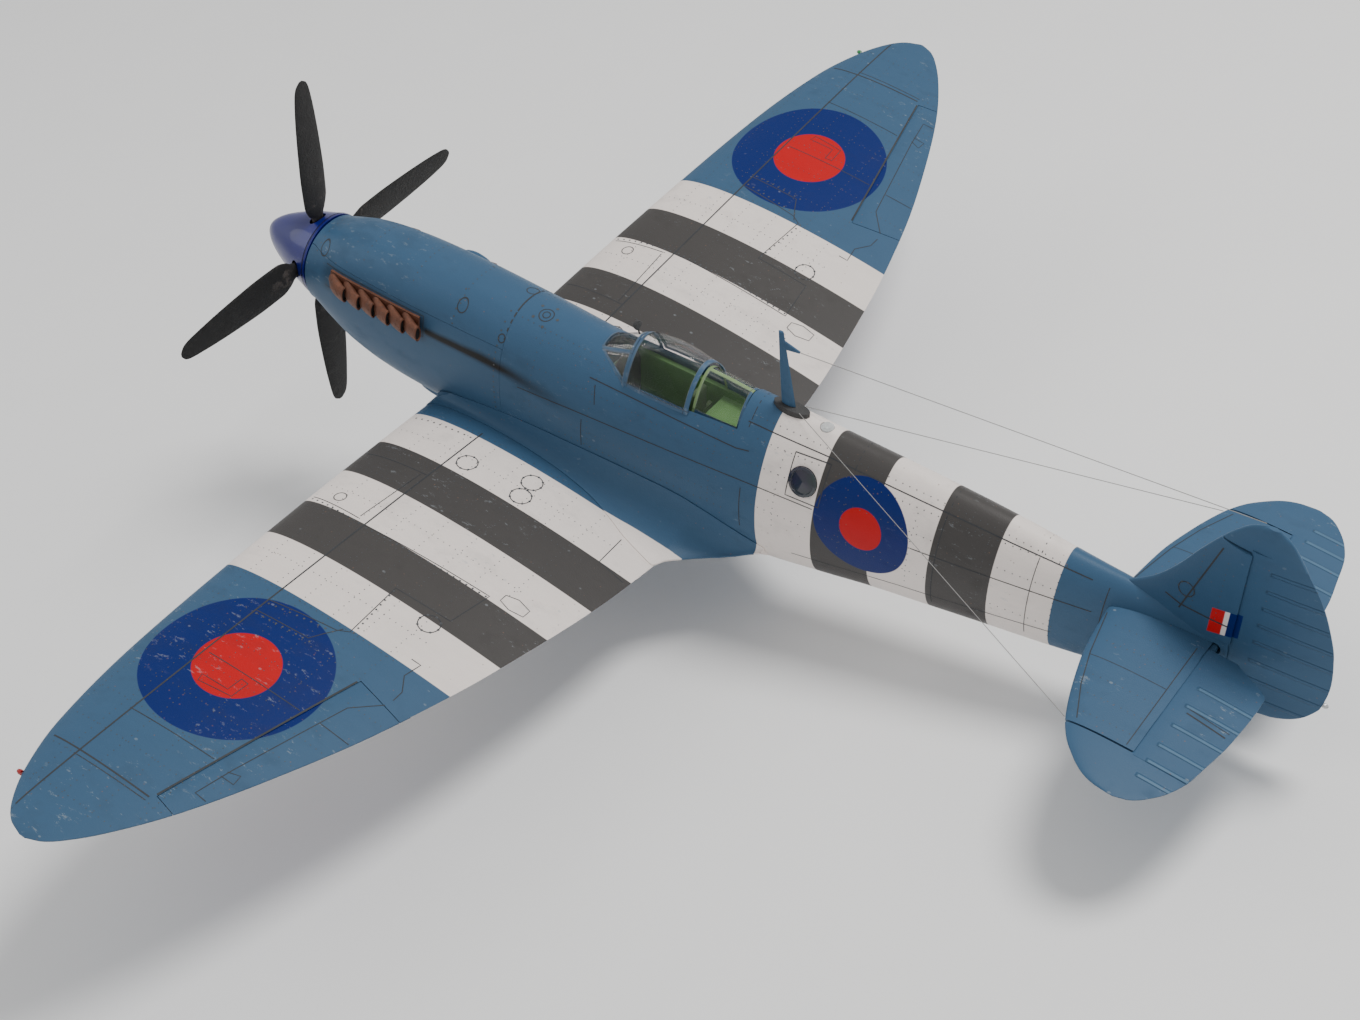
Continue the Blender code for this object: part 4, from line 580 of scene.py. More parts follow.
def section_half(s, y):
    """Tailplane section measured along a whole chord, clear of the inboard cut-out."""
    lead = TAILPLANE.lead(s)
    chord = max(TAILPLANE.trail(s), 9.18 - 0.02 * s) - lead
    c = min(1.0, (y - lead) / chord)
    half = 5 * TAILPLANE.thick(s) * chord * section_shape(c) + 0.004 * c
    return TAIL_HEIGHT + half, TAIL_HEIGHT - half


def elevator_nose(s, swell):
    half = section_half(s, ELEVATOR_HINGE)[0] - TAIL_HEIGHT + swell
    return [Vector((s, ELEVATOR_HINGE - half * math.sin(math.pi * k / 6),
                    TAIL_HEIGHT + half * math.cos(math.pi * k / 6))) for k in range(7)]


def elevator_ring(s):
    upper, lower = [], []
    trail = TAILPLANE.trail(s)
    for f in (0.35, 0.7, 1.0):
        y = ELEVATOR_HINGE + (trail - ELEVATOR_HINGE) * f
        top, bottom = section_half(s, y)
        upper.append(Vector((s, y, top)))
        lower.append(Vector((s, y, bottom)))
    return upper[::-1] + elevator_nose(s, -0.5 * GAP) + lower


def rudder_section(s, f):
    """Half thickness of the rudder, which keeps its width down past the fin's foot."""
    depth = FIN.trail(s) - RUDDER_HINGE
    return 0.050 * (1 - f) ** 0.8 + 0.004 if depth > 0 else 0.004


def rudder_ring(s):
    port, starboard = [], []
    depth = FIN.trail(s) - RUDDER_HINGE
    for f in (0.3, 0.65, 1.0):
        half = rudder_section(s, f)
        port.append(Vector((half, RUDDER_HINGE + depth * f, s)))
        starboard.append(Vector((-half, RUDDER_HINGE + depth * f, s)))
    return port[::-1] + rudder_nose(s, 0.0) + starboard


def rudder_nose(s, swell):
    radius = 0.052 + swell
    return [Vector((radius * math.cos(math.pi * k / 6), RUDDER_HINGE
                    - radius * math.sin(math.pi * k / 6), s)) for k in range(7)]


def rudder_pocket():
    """The rudder's room, whose lips stop short of the hinge line to let it swing."""
    rings = []
    lip = RUDDER_HINGE - RUDDER_LIP
    for s in (-0.3, RUDDER_HORN + 0.002):
        nose = rudder_nose(s, 1.5 * GAP)
        for p in (nose[0], nose[-1]):
            p.y = lip
        rings.append([Vector((0.4, lip, s))] + nose
                     + [Vector((-0.4, lip, s)), Vector((-0.4, 9.8, s)), Vector((0.4, 9.8, s))])
    return loft(rings)


BLADE = [  # radius, chord, thickness, pitch in degrees
    (0.145, 0.084, 0.084, 8.0), (0.270, 0.110, 0.080, 8.0), (0.355, 0.140, 0.066, 8.0),
    (0.42, 0.235, 0.056, 7.5), (0.52, 0.300, 0.048, 7.0), (0.75, 0.310, 0.038, 6.0),
    (1.00, 0.290, 0.030, 5.0), (1.25, 0.255, 0.023, 4.0), (1.45, 0.212, 0.018, 3.0),
    (1.57, 0.175, 0.014, 3.0), (1.63, 0.128, 0.011, 3.0), (PROP_RADIUS, 0.040, 0.007, 3.0),
]


def glass_ring(y, half, foot, top, wall=CLEAR_SKIN, count=10):
    """Section of a clear canopy piece standing on its foot height."""
    low = foot - 0.22
    start = math.asin(((foot - low) / (top - low)) ** (1 / GLASS_POWER))
    spread = half / math.cos(start) ** GLASS_POWER

    def arc(inset):
        points = []
        for k in range(count + 1):
            t = start + (math.pi - 2 * start) * k / count
            points.append(Vector((
                math.copysign((spread - inset) * abs(math.cos(t)) ** GLASS_POWER, math.cos(t)), y,
                low + (top - inset - low) * math.sin(t) ** GLASS_POWER)))
        return points

    return arc(0.0) + arc(wall)[::-1]


HOOD = [  # station, half width, top
    (3.905, 0.272, 0.750), (4.00, 0.280, 0.778), (4.15, 0.285, 0.800), (4.30, 0.282, 0.788),
    (4.42, 0.275, 0.758), (4.49, 0.270, 0.745)]


def camera_point(out):
    """A point on the camera window's axis, a distance out from the fuselage's skin."""
    y, z = CAMERA["y"], CAMERA["z"]
    below, above = (hull_point(y, hull_turn(y, z + step)) for step in (-0.02, 0.02))
    along = (above - below).normalized()
    return (below + above) / 2 + Vector((along.z, 0, -along.x)) * out


# ---------------------------------------------------------------- placing pieces
HUB_JOINT = next(joint for joint in frame["joints"] if joint["name"] == "propeller_spin")
ATTITUDE = Matrix.Rotation(-PITCH, 4, "X")
AIRFRAME = Matrix.Translation(
    Vector(HUB_JOINT["pos_m"]) - (ATTITUDE @ (Vector((0, PROP_Y, HUB_Z)) * SCALE))) @ ATTITUDE
DRAWING = AIRFRAME @ Matrix.Scale(SCALE, 4)
SHARP_EDGE = math.radians(30.0)


def piece(name, bm, paint, body="airframe", stands_for=()):
    """Put a solid of the drawing on the model as a piece that rides on a body."""
    mesh = bpy.data.meshes.new(name)
    bm.to_mesh(mesh)
    bm.free()
    mesh.transform(DRAWING)
    mesh.materials.append(paint)
    mesh.shade_smooth()
    mesh.set_sharp_from_angle(angle=SHARP_EDGE)
    made = bpy.data.objects.new(name, mesh)
    bpy.context.scene.collection.objects.link(made)
    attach(made, body)
    if stands_for:
        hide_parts(*stands_for)
    return made


def carve(bm, *cuts):
    """Cut solids out of a solid, or join them on, one after another."""
    for kind, solver, tool_bm in cuts:
        subject, tool = bpy.data.meshes.new("subject"), bpy.data.meshes.new("tool")
        bm.to_mesh(subject)
        bm.free()
        tool_bm.to_mesh(tool)
        tool_bm.free()
        worked = bpy.data.objects.new("worked", subject)
        other = bpy.data.objects.new("other", tool)
        for made in (worked, other):
            bpy.context.scene.collection.objects.link(made)
        step = worked.modifiers.new("cut", "BOOLEAN")
        step.operation, step.solver, step.object = kind, solver, other
        bpy.context.view_layer.update()
        shaped = worked.evaluated_get(bpy.context.evaluated_depsgraph_get()).to_mesh()
        bm = bmesh.new()
        bm.from_mesh(shaped)
        for made in (worked, other):
            bpy.data.objects.remove(made)
    return bm


def cut(bm, solver="EXACT"):
    return ("DIFFERENCE", solver, bm)


def add(bm):
    return ("UNION", "EXACT", bm)


def merge(*solids):
    """Several solids in one mesh."""
    whole = bmesh.new()
    for bm in solids:
        part = bpy.data.meshes.new("part")
        bm.to_mesh(part)
        bm.free()
        whole.from_mesh(part)
        bpy.data.meshes.remove(part)
    return whole


def spread(start, end, count):
    return [start + (end - start) * k / count for k in range(count + 1)]


# ---------------------------------------------------------------- shader arithmetic
class Value:
    """A socket of a shader, with arithmetic."""

    def __init__(self, graph, socket):
        self.graph, self.socket = graph, socket

    def __add__(self, other):
        return self.graph.math("ADD", self, other)

    def __sub__(self, other):
        return self.graph.math("SUBTRACT", self, other)

    def __rsub__(self, other):
        return self.graph.math("SUBTRACT", other, self)

    def __mul__(self, other):
        return self.graph.math("MULTIPLY", self, other)

    def __abs__(self):
        return self.graph.math("ABSOLUTE", self)

    __radd__ = __add__
    __rmul__ = __mul__


class Paint:
    """A material whose x, y and z are the drawing's, in full-size metres."""

    def __init__(self, name):
        self.material = bpy.data.materials.new(name)
        self.material.use_nodes = True
        self.tree = self.material.node_tree
        self.shader = self.tree.nodes["Principled BSDF"]
        to_drawing = DRAWING.inverted()
        mapping = self.tree.nodes.new("ShaderNodeMapping")
        mapping.inputs["Location"].default_value = to_drawing.translation
        mapping.inputs["Rotation"].default_value = to_drawing.to_euler()
        mapping.inputs["Scale"].default_value = (1 / SCALE,) * 3
        self.tree.links.new(self.tree.nodes.new("ShaderNodeTexCoord").outputs["Object"],
                            mapping.inputs["Vector"])
        self.place = mapping.outputs["Vector"]
        split = self.tree.nodes.new("ShaderNodeSeparateXYZ")
        self.tree.links.new(self.place, split.inputs[0])
        self.x, self.y, self.z = (Value(self, split.outputs[k]) for k in range(3))

    def feed(self, socket, value):
        if isinstance(value, Value):
            self.tree.links.new(value.socket, socket)
        elif isinstance(value, (tuple, list)) and len(value) == 3 and socket.type == "RGBA":
            socket.default_value = (*value, 1.0)
        else:
            socket.default_value = value

    def math(self, kind, *values):
        made = self.tree.nodes.new("ShaderNodeMath")
        made.operation = kind
        for k, value in enumerate(values):
            self.feed(made.inputs[k], value)
        return Value(self, made.outputs[0])

    def step(self, value, low, high):
        """0 below low, 1 above high and a smooth rise between them."""
        made = self.tree.nodes.new("ShaderNodeMapRange")
        made.interpolation_type = "SMOOTHSTEP"
        self.feed(made.inputs["Value"], value)
        self.feed(made.inputs["From Min"], low)
        self.feed(made.inputs["From Max"], high)
        return Value(self, made.outputs["Result"])

    def above(self, value, edge, soft=0.004):
        return self.step(value, edge - soft, edge + soft)

    def between(self, value, low, high, soft=0.004):
        return self.above(value, low, soft) * (1 - self.above(value, high, soft))

    def most(self, *values):
        top = values[0]
        for value in values[1:]:
            top = self.math("MAXIMUM", top, value)
        return top

    def length(self, a, b):
        return self.math("SQRT", a * a + b * b)

    def mix(self, share, a, b, kind="MIX"):
        made = self.tree.nodes.new("ShaderNodeMix")
        made.data_type = "RGBA"
        made.blend_type = kind
        self.feed(made.inputs[0], share)
        self.feed(made.inputs[6], a)
        self.feed(made.inputs[7], b)
        return Value(self, made.outputs[2])

    def layers(self, base, *coats):
        """Colours laid over a base, each where its mask is."""
        for mask, colour in coats:
            base = self.mix(mask, base, colour)
        return base

    def line(self, value, at, half=0.007):
        return 1 - self.step(abs(value - at), half * 0.3, half)

    def disc(self, u, v, centre, radius):
        return 1 - self.above(self.length(u - centre[0], v - centre[1]), radius)

    def stretched(self, stretch):
        made = self.tree.nodes.new("ShaderNodeVectorMath")
        made.operation = "MULTIPLY"
        self.tree.links.new(self.place, made.inputs[0])
        made.inputs[1].default_value = stretch
        return made.outputs[0]

    def noise(self, scale, detail=3.0, stretch=(1, 1, 1), rough=0.55):
        made = self.tree.nodes.new("ShaderNodeTexNoise")
        self.tree.links.new(self.stretched(stretch), made.inputs["Vector"])
        made.inputs["Scale"].default_value = scale
        made.inputs["Detail"].default_value = detail
        made.inputs["Roughness"].default_value = rough
        return Value(self, made.outputs[0])

    def cells(self, scale, stretch=(1, 1, 1)):
        made = self.tree.nodes.new("ShaderNodeTexVoronoi")
        self.tree.links.new(self.stretched(stretch), made.inputs["Vector"])
        made.inputs["Scale"].default_value = scale
        return Value(self, made.outputs["Distance"])

    def finish(self, colour, rough, height=None, depth=0.01, metal=0.0, coat=0.0):
        self.feed(self.shader.inputs["Base Color"], colour)
        self.feed(self.shader.inputs["Roughness"], rough)
        self.feed(self.shader.inputs["Metallic"], metal)
        self.feed(self.shader.inputs["Coat Weight"], coat)
        if height is not None:
            bump = self.tree.nodes.new("ShaderNodeBump")
            bump.inputs["Strength"].default_value = 0.6
            bump.inputs["Distance"].default_value = depth
            self.feed(bump.inputs["Height"], height)
            self.tree.links.new(bump.outputs["Normal"], self.shader.inputs["Normal"])
        return self.material


# ---------------------------------------------------------------- paint
BLUE = (0.040, 0.098, 0.178)
OFF_WHITE = (0.84, 0.765, 0.72)
DARK_GREY = (0.060, 0.056, 0.054)
ROUNDEL_BLUE = (0.0006, 0.013, 0.125)
ROUNDEL_RED = (0.50, 0.0005, 0.004)
BARE = (0.34, 0.38, 0.41)
RUST = (0.20, 0.11, 0.075)
GRIME = (0.018, 0.017, 0.016)
STRIPE_INNER = 0.655                # the wing's first band starts this far out
STRIPE_WIDTH = 0.452
HULL_STRIPE = 5.195                 # station where the fuselage's first band starts
HULL_STRIPE_WIDTH = 0.477
PAINT_SHINE = 0.24                  # specular level of satin paint
EDGE = 0.003                        # half the softness of a painted edge
WING_ROUNDEL = dict(at=(3.697, 3.030), radius=0.690, centre=0.318)
HULL_ROUNDEL = dict(at=(6.065, 0.190), radius=0.390, centre=0.172)


def bands(g, value, start, width):
    """Masks of all five bands, and of the second and fourth."""
    whole = g.between(value, start, start + 5 * width, EDGE)
    dark = g.most(*(g.between(value, start + k * width, start + (k + 1) * width, EDGE)
                    for k in (1, 3)))
    return whole, dark


def worn_paint(g, colour, soot=None, chips=1.0, gloss=0.40, ridges=None):
    """Satin paint with brushed streaks, chips, scratches, stains and rust specks."""
    cloud = g.noise(0.9, 3)
    cloth = g.noise(7.0, 4, (1, 0.6, 1))
    streak = g.noise(5.0, 5, (2.2, 0.35, 2.2), 0.7)
    grain = g.noise(150.0, 1)
    tone = 0.38 + cloud * 0.14 + cloth * 0.09 + streak * 0.09 + grain * 0.05
    toned = g.mix(1.0, colour, g.mix(tone - 0.05, (0.5, 0.5, 0.5), (1.55, 1.55, 1.55)),
                  "MULTIPLY")
    stain = g.step(cloth * 0.6 + cloud * 0.4, 0.50, 0.68) * 0.15
    scratch = g.step(g.noise(22.0, 6, (1.0, 0.35, 1.0), 0.78), 0.600, 0.640) * g.step(
        cloud, 0.47, 0.60)
    chip = (1 - g.step(g.cells(9.0, (1, 0.7, 1)), 0.07, 0.11)) * g.step(cloth, 0.50, 0.58)
    speck = (1 - g.step(g.cells(17.0), 0.07, 0.13)) * g.step(streak, 0.49, 0.57)
    coats = [(stain, GRIME), (scratch * 0.34 * chips, BARE), (chip * 0.30 * chips, BARE),
             (speck * 0.50, RUST)]
    if soot is not None:
        coats.append((soot, (0.006, 0.006, 0.006)))
    rough = gloss + cloth * 0.10 + stain * 0.8 - scratch * 0.05
    g.shader.inputs["Specular IOR Level"].default_value = PAINT_SHINE
    height = grain * 0.03
    if ridges is not None:
        height = height + ridges * 0.5
    return g.finish(g.layers(toned, *coats), rough, height, depth=0.012)


def roundel(g, colour, u, v, mark):
    outer = g.disc(u, v, mark["at"], mark["radius"])
    inner = g.disc(u, v, mark["at"], mark["centre"])
    return g.layers(colour, (outer, ROUNDEL_BLUE), (inner, ROUNDEL_RED))


def wing_paint():
    g = Paint("wing_paint")
    span = abs(g.x)
    whole, dark = bands(g, span, STRIPE_INNER, STRIPE_WIDTH)
    colour = g.layers(BLUE, (whole, OFF_WHITE), (dark, DARK_GREY))
    return worn_paint(g, roundel(g, colour, span, g.y, WING_ROUNDEL))


def hull_paint():
    g = Paint("hull_paint")
    y, z = g.y, g.z
    whole, dark = bands(g, y, HULL_STRIPE, HULL_STRIPE_WIDTH)
    colour = g.layers(BLUE, (whole, OFF_WHITE), (dark, DARK_GREY))
    colour = roundel(g, colour, y, z, HULL_ROUNDEL)
    drift = g.noise(3.0, 4, (1, 0.5, 2.4))
    course = 0.165 + (y - 2.0) * 0.02 - g.step(y, 2.6, 3.6) * 0.10
    blur = 0.045 + (y - 2.0) * 0.045
    trail = (1 - g.step(abs(z - course + drift * 0.05), 0.0, blur)) * g.step(y, 1.99, 2.06)
    soot = trail * (1 - g.step(y, 2.5, 3.7)) * (0.60 + drift * 0.6)
    beside = g.between(y, 0.93, 2.03, 0.05) * (1 - g.step(abs(z - 0.15), 0.08, 0.16)) * 0.35
    return worn_paint(g, colour, g.most(soot * 1.25, beside), chips=0.7, gloss=0.36)


def fillet_paint():
    g = Paint("fillet_paint")
    whole, dark = bands(g, g.y, HULL_STRIPE, HULL_STRIPE_WIDTH)
    outer = g.above(abs(g.x), STRIPE_INNER, EDGE)
    colour = g.layers(BLUE, (outer, OFF_WHITE), (whole, OFF_WHITE), (dark, DARK_GREY))
    return worn_paint(g, colour, chips=0.6, gloss=0.34)


def tapes(g, value, stations, half):
    """Masks of the cloth tapes over the ribs of a fabric surface."""
    return g.most(*(g.between(value, at - half, at + half, 0.005) for at in stations))


def tail_paint():
    g = Paint("tail_paint")
    ridge = tapes(g, abs(g.x), (0.48, 0.66, 0.86, 1.06, 1.22, 1.36), 0.014) * g.above(
        g.y, ELEVATOR_HINGE + 0.09, 0.01)
    return worn_paint(g, g.mix(ridge, BLUE, (0.075, 0.155, 0.25)), chips=1.2, ridges=ridge)


def fin_paint():
    g = Paint("fin_paint")
    y, z = g.y, g.z
    flash = g.between(z - (y - 8.65) * 0.20, 0.540, 0.764, EDGE)
    colour = g.layers(BLUE, (flash * g.between(y, 8.646, 8.740, EDGE), (0.58, 0.012, 0.014)),
                      (flash * g.between(y, 8.740, 8.775, EDGE), OFF_WHITE),
                      (flash * g.between(y, 8.775, 8.862, EDGE), ROUNDEL_BLUE))
    ridge = tapes(g, z, (0.10, 0.27, 0.44, 0.62, 0.78, 0.94, 1.10, 1.26), 0.013) * g.above(
        y, 8.97, 0.01)
    return worn_paint(g, colour, chips=0.5, ridges=ridge)


def plain_paint(name, colour, gloss=0.42):
    g = Paint(name)
    return worn_paint(g, colour, chips=0.6, gloss=gloss)


# ---------------------------------------------------------------- marks on the skins
MARK_LIFT = 0.0010                  # marks lie this far above the skin
MARK_STEP = 0.05                    # a line bends with the skin this often
STRONG_LINE, FINE_LINE = 0.0065, 0.0034
# Half width of the dark ribbon ahead of each aileron's hinge: painted shade of the hinge gap.
AILERON_GAP_SHADE = 0.0075
RIVET = 0.0048                      # radius of a small rivet's head


class Marks:
    """Lines, rings and screw heads on a surface that at(u, v) gives."""

    def __init__(self, at, side=1):
        self.at, self.side = at, side
        self.lines, self.heads = bmesh.new(), bmesh.new()

    def raised(self, u, v):
        point = self.at(u, v)
        along = self.at(u + 0.01, v) - point
        across = self.at(u, v + 0.01) - point
        normal = along.cross(across).normalized() * self.side
        return point + normal * MARK_LIFT, along.normalized(), across.normalized()

    def line(self, *points, half=0.0038):
        places = []
        for a, b in zip(points, points[1:]):
            steps = max(1, round(math.dist(a, b) / MARK_STEP))
            places += [(a[0] + (b[0] - a[0]) * k / steps, a[1] + (b[1] - a[1]) * k / steps)
                       for k in range(steps)]
        places.append(points[-1])
        rows = []
        for k, (u, v) in enumerate(places):
            before, after = places[max(0, k - 1)], places[min(len(places) - 1, k + 1)]
            reach = math.dist(before, after)
            du, dv = (after[0] - before[0]) / reach, (after[1] - before[1]) / reach
            rows.append([self.lines.verts.new(self.raised(u - dv * w, v + du * w)[0])
                         for w in (half, -half)])
        for a, b in zip(rows, rows[1:]):
            self.lines.faces.new((a[0], a[1], b[1], b[0]))

    def ring(self, centre, radius):
        self.line(*round_outline(centre, radius, 25, 0.0, math.tau * 1.0001), half=0.0042)

    def head(self, u, v, size=0.0065):
        middle, along, across = self.raised(u, v)
        self.heads.faces.new([self.heads.verts.new(
            middle + (along * math.cos(math.tau * k / 6) + across * math.sin(math.tau * k / 6))
            * size) for k in range(6)])

    def rivets(self, a, b, step=0.050, size=0.0065):
        count = max(1, round(math.dist(a, b) / step))
        for k in range(count + 1):
            t = k / count
            self.head(a[0] + (b[0] - a[0]) * t, a[1] + (b[1] - a[1]) * t, size)

    def screws(self, centre, radius, count=8, size=0.011):
        for u, v in round_outline(centre, radius, count):
            self.head(u, v, size)

    def place(self, name, body="airframe"):
        for bm, what, paint in ((self.lines, "lines", LINE_PAINT), (self.heads, "heads",
                                                                    HEAD_PAINT)):
            if bm.faces:
                piece(f"{name}_{what}", bm, paint, body)
            else:
                bm.free()


def blade_paint():
    g = Paint("blade_paint")
    radius = g.length(g.x, g.z - HUB_Z)
    grain = g.noise(60.0, 4, (1, 1, 1), 0.7)
    worn = g.step(g.noise(9.0, 5, (1, 1, 1), 0.7), 0.50, 0.66)
    root = 1 - g.step(radius, 0.42, 0.78)
    edge = g.step(g.noise(22.0, 3), 0.45, 0.65)
    colour = g.layers((0.0075, 0.0072, 0.0070), (worn * root * 0.62, (0.115, 0.095, 0.085)),
                      (edge * worn * 0.28, (0.05, 0.047, 0.045)))
    return g.finish(colour, 0.50 + grain * 0.25, grain * 0.2 + worn * 0.1, 0.01)


def spinner_paint():
    g = Paint("spinner_paint")
    grain = g.noise(120.0, 2)
    cloud = g.noise(4.0, 4)
    scuff = g.step(g.noise(24.0, 6, (1, 0.5, 1), 0.75), 0.64, 0.69) * g.step(
        g.noise(3.0, 2), 0.5, 0.6)
    seam = g.line(g.y, SPINNER_BACK - 0.024, 0.006)
    colour = g.layers(g.mix(cloud, (0.0005, 0.0035, 0.110), (0.0012, 0.0070, 0.185)),
                      (scuff * 0.35, (0.10, 0.13, 0.35)), (seam, (0.0, 0.001, 0.02)))
    return g.finish(colour, 0.28 + cloud * 0.12, grain * 0.04 - seam, 0.01, coat=0.35)


def exhaust_paint():
    g = Paint("exhaust_metal")
    cloud = g.noise(9.0, 5, (1, 1, 1), 0.7)
    grain = g.noise(90.0, 3)
    scale = g.step(g.noise(30.0, 5), 0.52, 0.68)
    colour = g.mix(cloud, (0.060, 0.022, 0.014), (0.270, 0.110, 0.062))
    colour = g.layers(colour, (scale * 0.45, (0.12, 0.075, 0.06)))
    return g.finish(colour, 0.42 + grain * 0.25, grain * 0.25 + scale * 0.15, 0.008, metal=0.45)


def grained(name, low, high, rough, scale=12.0, metal=0.0, bump=0.2, stretch=(1, 1, 1)):
    """A plain material with a fine grain and slow clouds of tone."""
    g = Paint(name)
    cloud = g.noise(scale, 5, stretch, 0.62)
    grain = g.noise(scale * 9, 3, stretch)
    colour = g.mix(cloud * 0.7 + grain * 0.3, low, high)
    return g.finish(colour, rough + grain * 0.18 - 0.06, grain * bump + cloud * bump, 0.006,
                    metal=metal)


def clear_paint(name, framing):
    """Clear plastic, with painted framing where the mask of the given function is."""
    g = Paint(name)
    frame_mask, frame_colour, seam = framing(g)
    haze = g.noise(6.0, 5, (1, 1, 1), 0.65)
    scratch = g.step(g.noise(30.0, 6, (1.0, 0.35, 1.0), 0.75), 0.66, 0.70) * 0.25
    clear = g.mix(haze, (0.80, 0.86, 0.88), (0.93, 0.96, 0.97))
    grain = g.noise(140.0, 2)
    painted = g.layers(frame_colour, (g.step(g.noise(20, 4), 0.55, 0.70) * 0.25, BARE),
                       (seam, GRIME))
    colour = g.mix(frame_mask, clear, painted)
    g.feed(g.shader.inputs["Transmission Weight"], (1 - frame_mask) * 0.92)
    g.feed(g.shader.inputs["Alpha"], g.most(frame_mask, haze * 0.06 + scratch * 0.3 + 0.09))
    g.shader.inputs["IOR"].default_value = 1.49
    return g.finish(colour, frame_mask * 0.34 + haze * 0.07 + 0.02,
                    g.most(seam * -1.0, grain * 0.05 * frame_mask), 0.006)


def screen_framing(g):
    """Blue frame along the windscreen's foot and rear arch, and up its two front posts."""
    front = hull_surface(SCREEN_FRONT, SCREEN_HALF_FRONT)
    back = hull_surface(SCREEN_BACK, SCREEN_HALF_BACK)
    slope = (back - front) / (SCREEN_BACK - SCREEN_FRONT)
    foot = 1 - g.above(g.z - g.y * slope, front - SCREEN_FRONT * slope + 0.026, EDGE)
    arch = g.above(g.y, 3.872, EDGE)
    post = abs(abs(g.x) - 0.105 - (g.y - SCREEN_FRONT) * 0.10)
    posts = 1 - g.above(post, 0.010, EDGE)
    nose = 1 - g.above(g.y, 3.592, EDGE)
    mask = g.most(foot, arch, posts, nose)
    seam = g.most(g.line(g.y, 3.872, 0.004), g.line(post, 0.010, EDGE)) * 0.6
    return mask, BLUE, seam


def hood_framing(g):
    """Frames round both ends and along the foot of the sliding hood."""
    front = 1 - g.above(g.y, 3.930, EDGE)
    back = g.above(g.y, 4.452, EDGE)
    foot = 1 - g.above(g.z, 0.464, EDGE)
    mask = g.most(front, back, foot)
    seam = g.most(g.line(g.y, 3.930, 0.005), g.line(g.y, 4.452, 0.005),
                  g.line(g.z, 0.464, 0.005)) * 0.6
    return mask, BLUE, seam


def rear_framing(g):
    """Green frames of the fixed rear glazing, with a blue foot and rear edge."""
    back = g.above(g.y, 4.885, EDGE)
    front = 1 - g.above(g.y, 4.520, EDGE)
    foot = 1 - g.above(g.z, 0.470, EDGE)
    spine = 1 - g.above(abs(g.x), 0.016, EDGE)
    mask = g.most(front, back, foot, spine)
    colour = g.mix(g.most(front, spine), BLUE, (0.20, 0.30, 0.13))
    seam = g.most(g.line(g.y, 4.885, 0.005), g.line(g.z, 0.470, 0.005)) * 0.6
    return mask, colour, seam


def lens_paint(name, low, high):
    g = Paint(name)
    cloud = g.noise(14.0, 4)
    facets = g.cells(60.0)
    g.shader.inputs["Transmission Weight"].default_value = 0.35
    return g.finish(g.mix(cloud, low, high), 0.06 + cloud * 0.08, facets * 0.15, 0.004, coat=0.6)


# ---------------------------------------------------------------- skins
HULL_PAINT, WING_PAINT = hull_paint(), wing_paint()
TAIL_PAINT, FIN_PAINT = tail_paint(), fin_paint()
EXHAUST_PAINT, SPINNER_PAINT, BLADE_PAINT = exhaust_paint(), spinner_paint(), blade_paint()
LINE_PAINT = grained("joint_shadow", (0.010, 0.012, 0.016), (0.055, 0.060, 0.066), 0.7, 5.0)
HEAD_PAINT = grained("screw_heads", (0.020, 0.026, 0.034), (0.100, 0.105, 0.110), 0.45, 6.0)
# Near-black for the plugs inside the exhaust mouths: soot, and painted shade of the hollow outlets.
MOUTH_SOOT_AND_SHADE = grained("mouth_soot_and_shade", (0.001, 0.001, 0.001), (0.006, 0.005, 0.005), 0.92, 30.0)
DARK_PLASTIC = grained("dark_plastic", (0.018, 0.018, 0.019), (0.045, 0.045, 0.046), 0.45)
PAD_LEATHER = grained("pad_leather", (0.014, 0.012, 0.010), (0.050, 0.042, 0.036), 0.55, 40.0,
                      bump=0.5)


def hull_solid(start, end, inset=0.0, count=80, steps=60):
    return loft([hull_ring(y, inset, count) for y in spread(start, end, steps)])


def coarse_hull(start, end, grow):
    return hull_solid(start, end, -grow, 24, 24)


def tailplane_skin(grow=0.0, steps=26, count=18):
    """The fixed tailplane, from one elevator horn to the other."""
    rings = []
    for s in spread(0.0, ELEVATOR_HORN - 0.006 - grow, steps):
        lead = TAILPLANE.lead(s) - grow
        back = ELEVATOR_HINGE - 0.002 + grow
        upper, lower = [], []
        for f in spread(0.0, 1.0, count):
            y = lead + (back - lead) * (1 - math.cos(math.pi / 2 * f))
            top, bottom = section_half(s, max(y, TAILPLANE.lead(s)))
            upper.append(Vector((s, y, top + grow)))
            lower.append(Vector((s, y, bottom - grow)))
        rings.append(upper[::-1] + lower)
    return loft([[to_starboard(p) for p in ring] for ring in rings[:0:-1]] + rings)


def elevator_pocket():
    rings = []
    for s in (-ELEVATOR_HORN, -0.85, -0.55, -0.285, 0.0, 0.285, 0.55, 0.85, ELEVATOR_HORN):
        nose = [Vector((s, p.y, p.z)) for p in elevator_nose(abs(s), 1.5 * GAP)]
        rings.append([Vector((s, ELEVATOR_HINGE, 0.8))] + nose
                     + [Vector((s, ELEVATOR_HINGE, 0.0)), Vector((s, 9.5, 0.0)),
                        Vector((s, 9.5, 0.8))])
    return loft(rings)


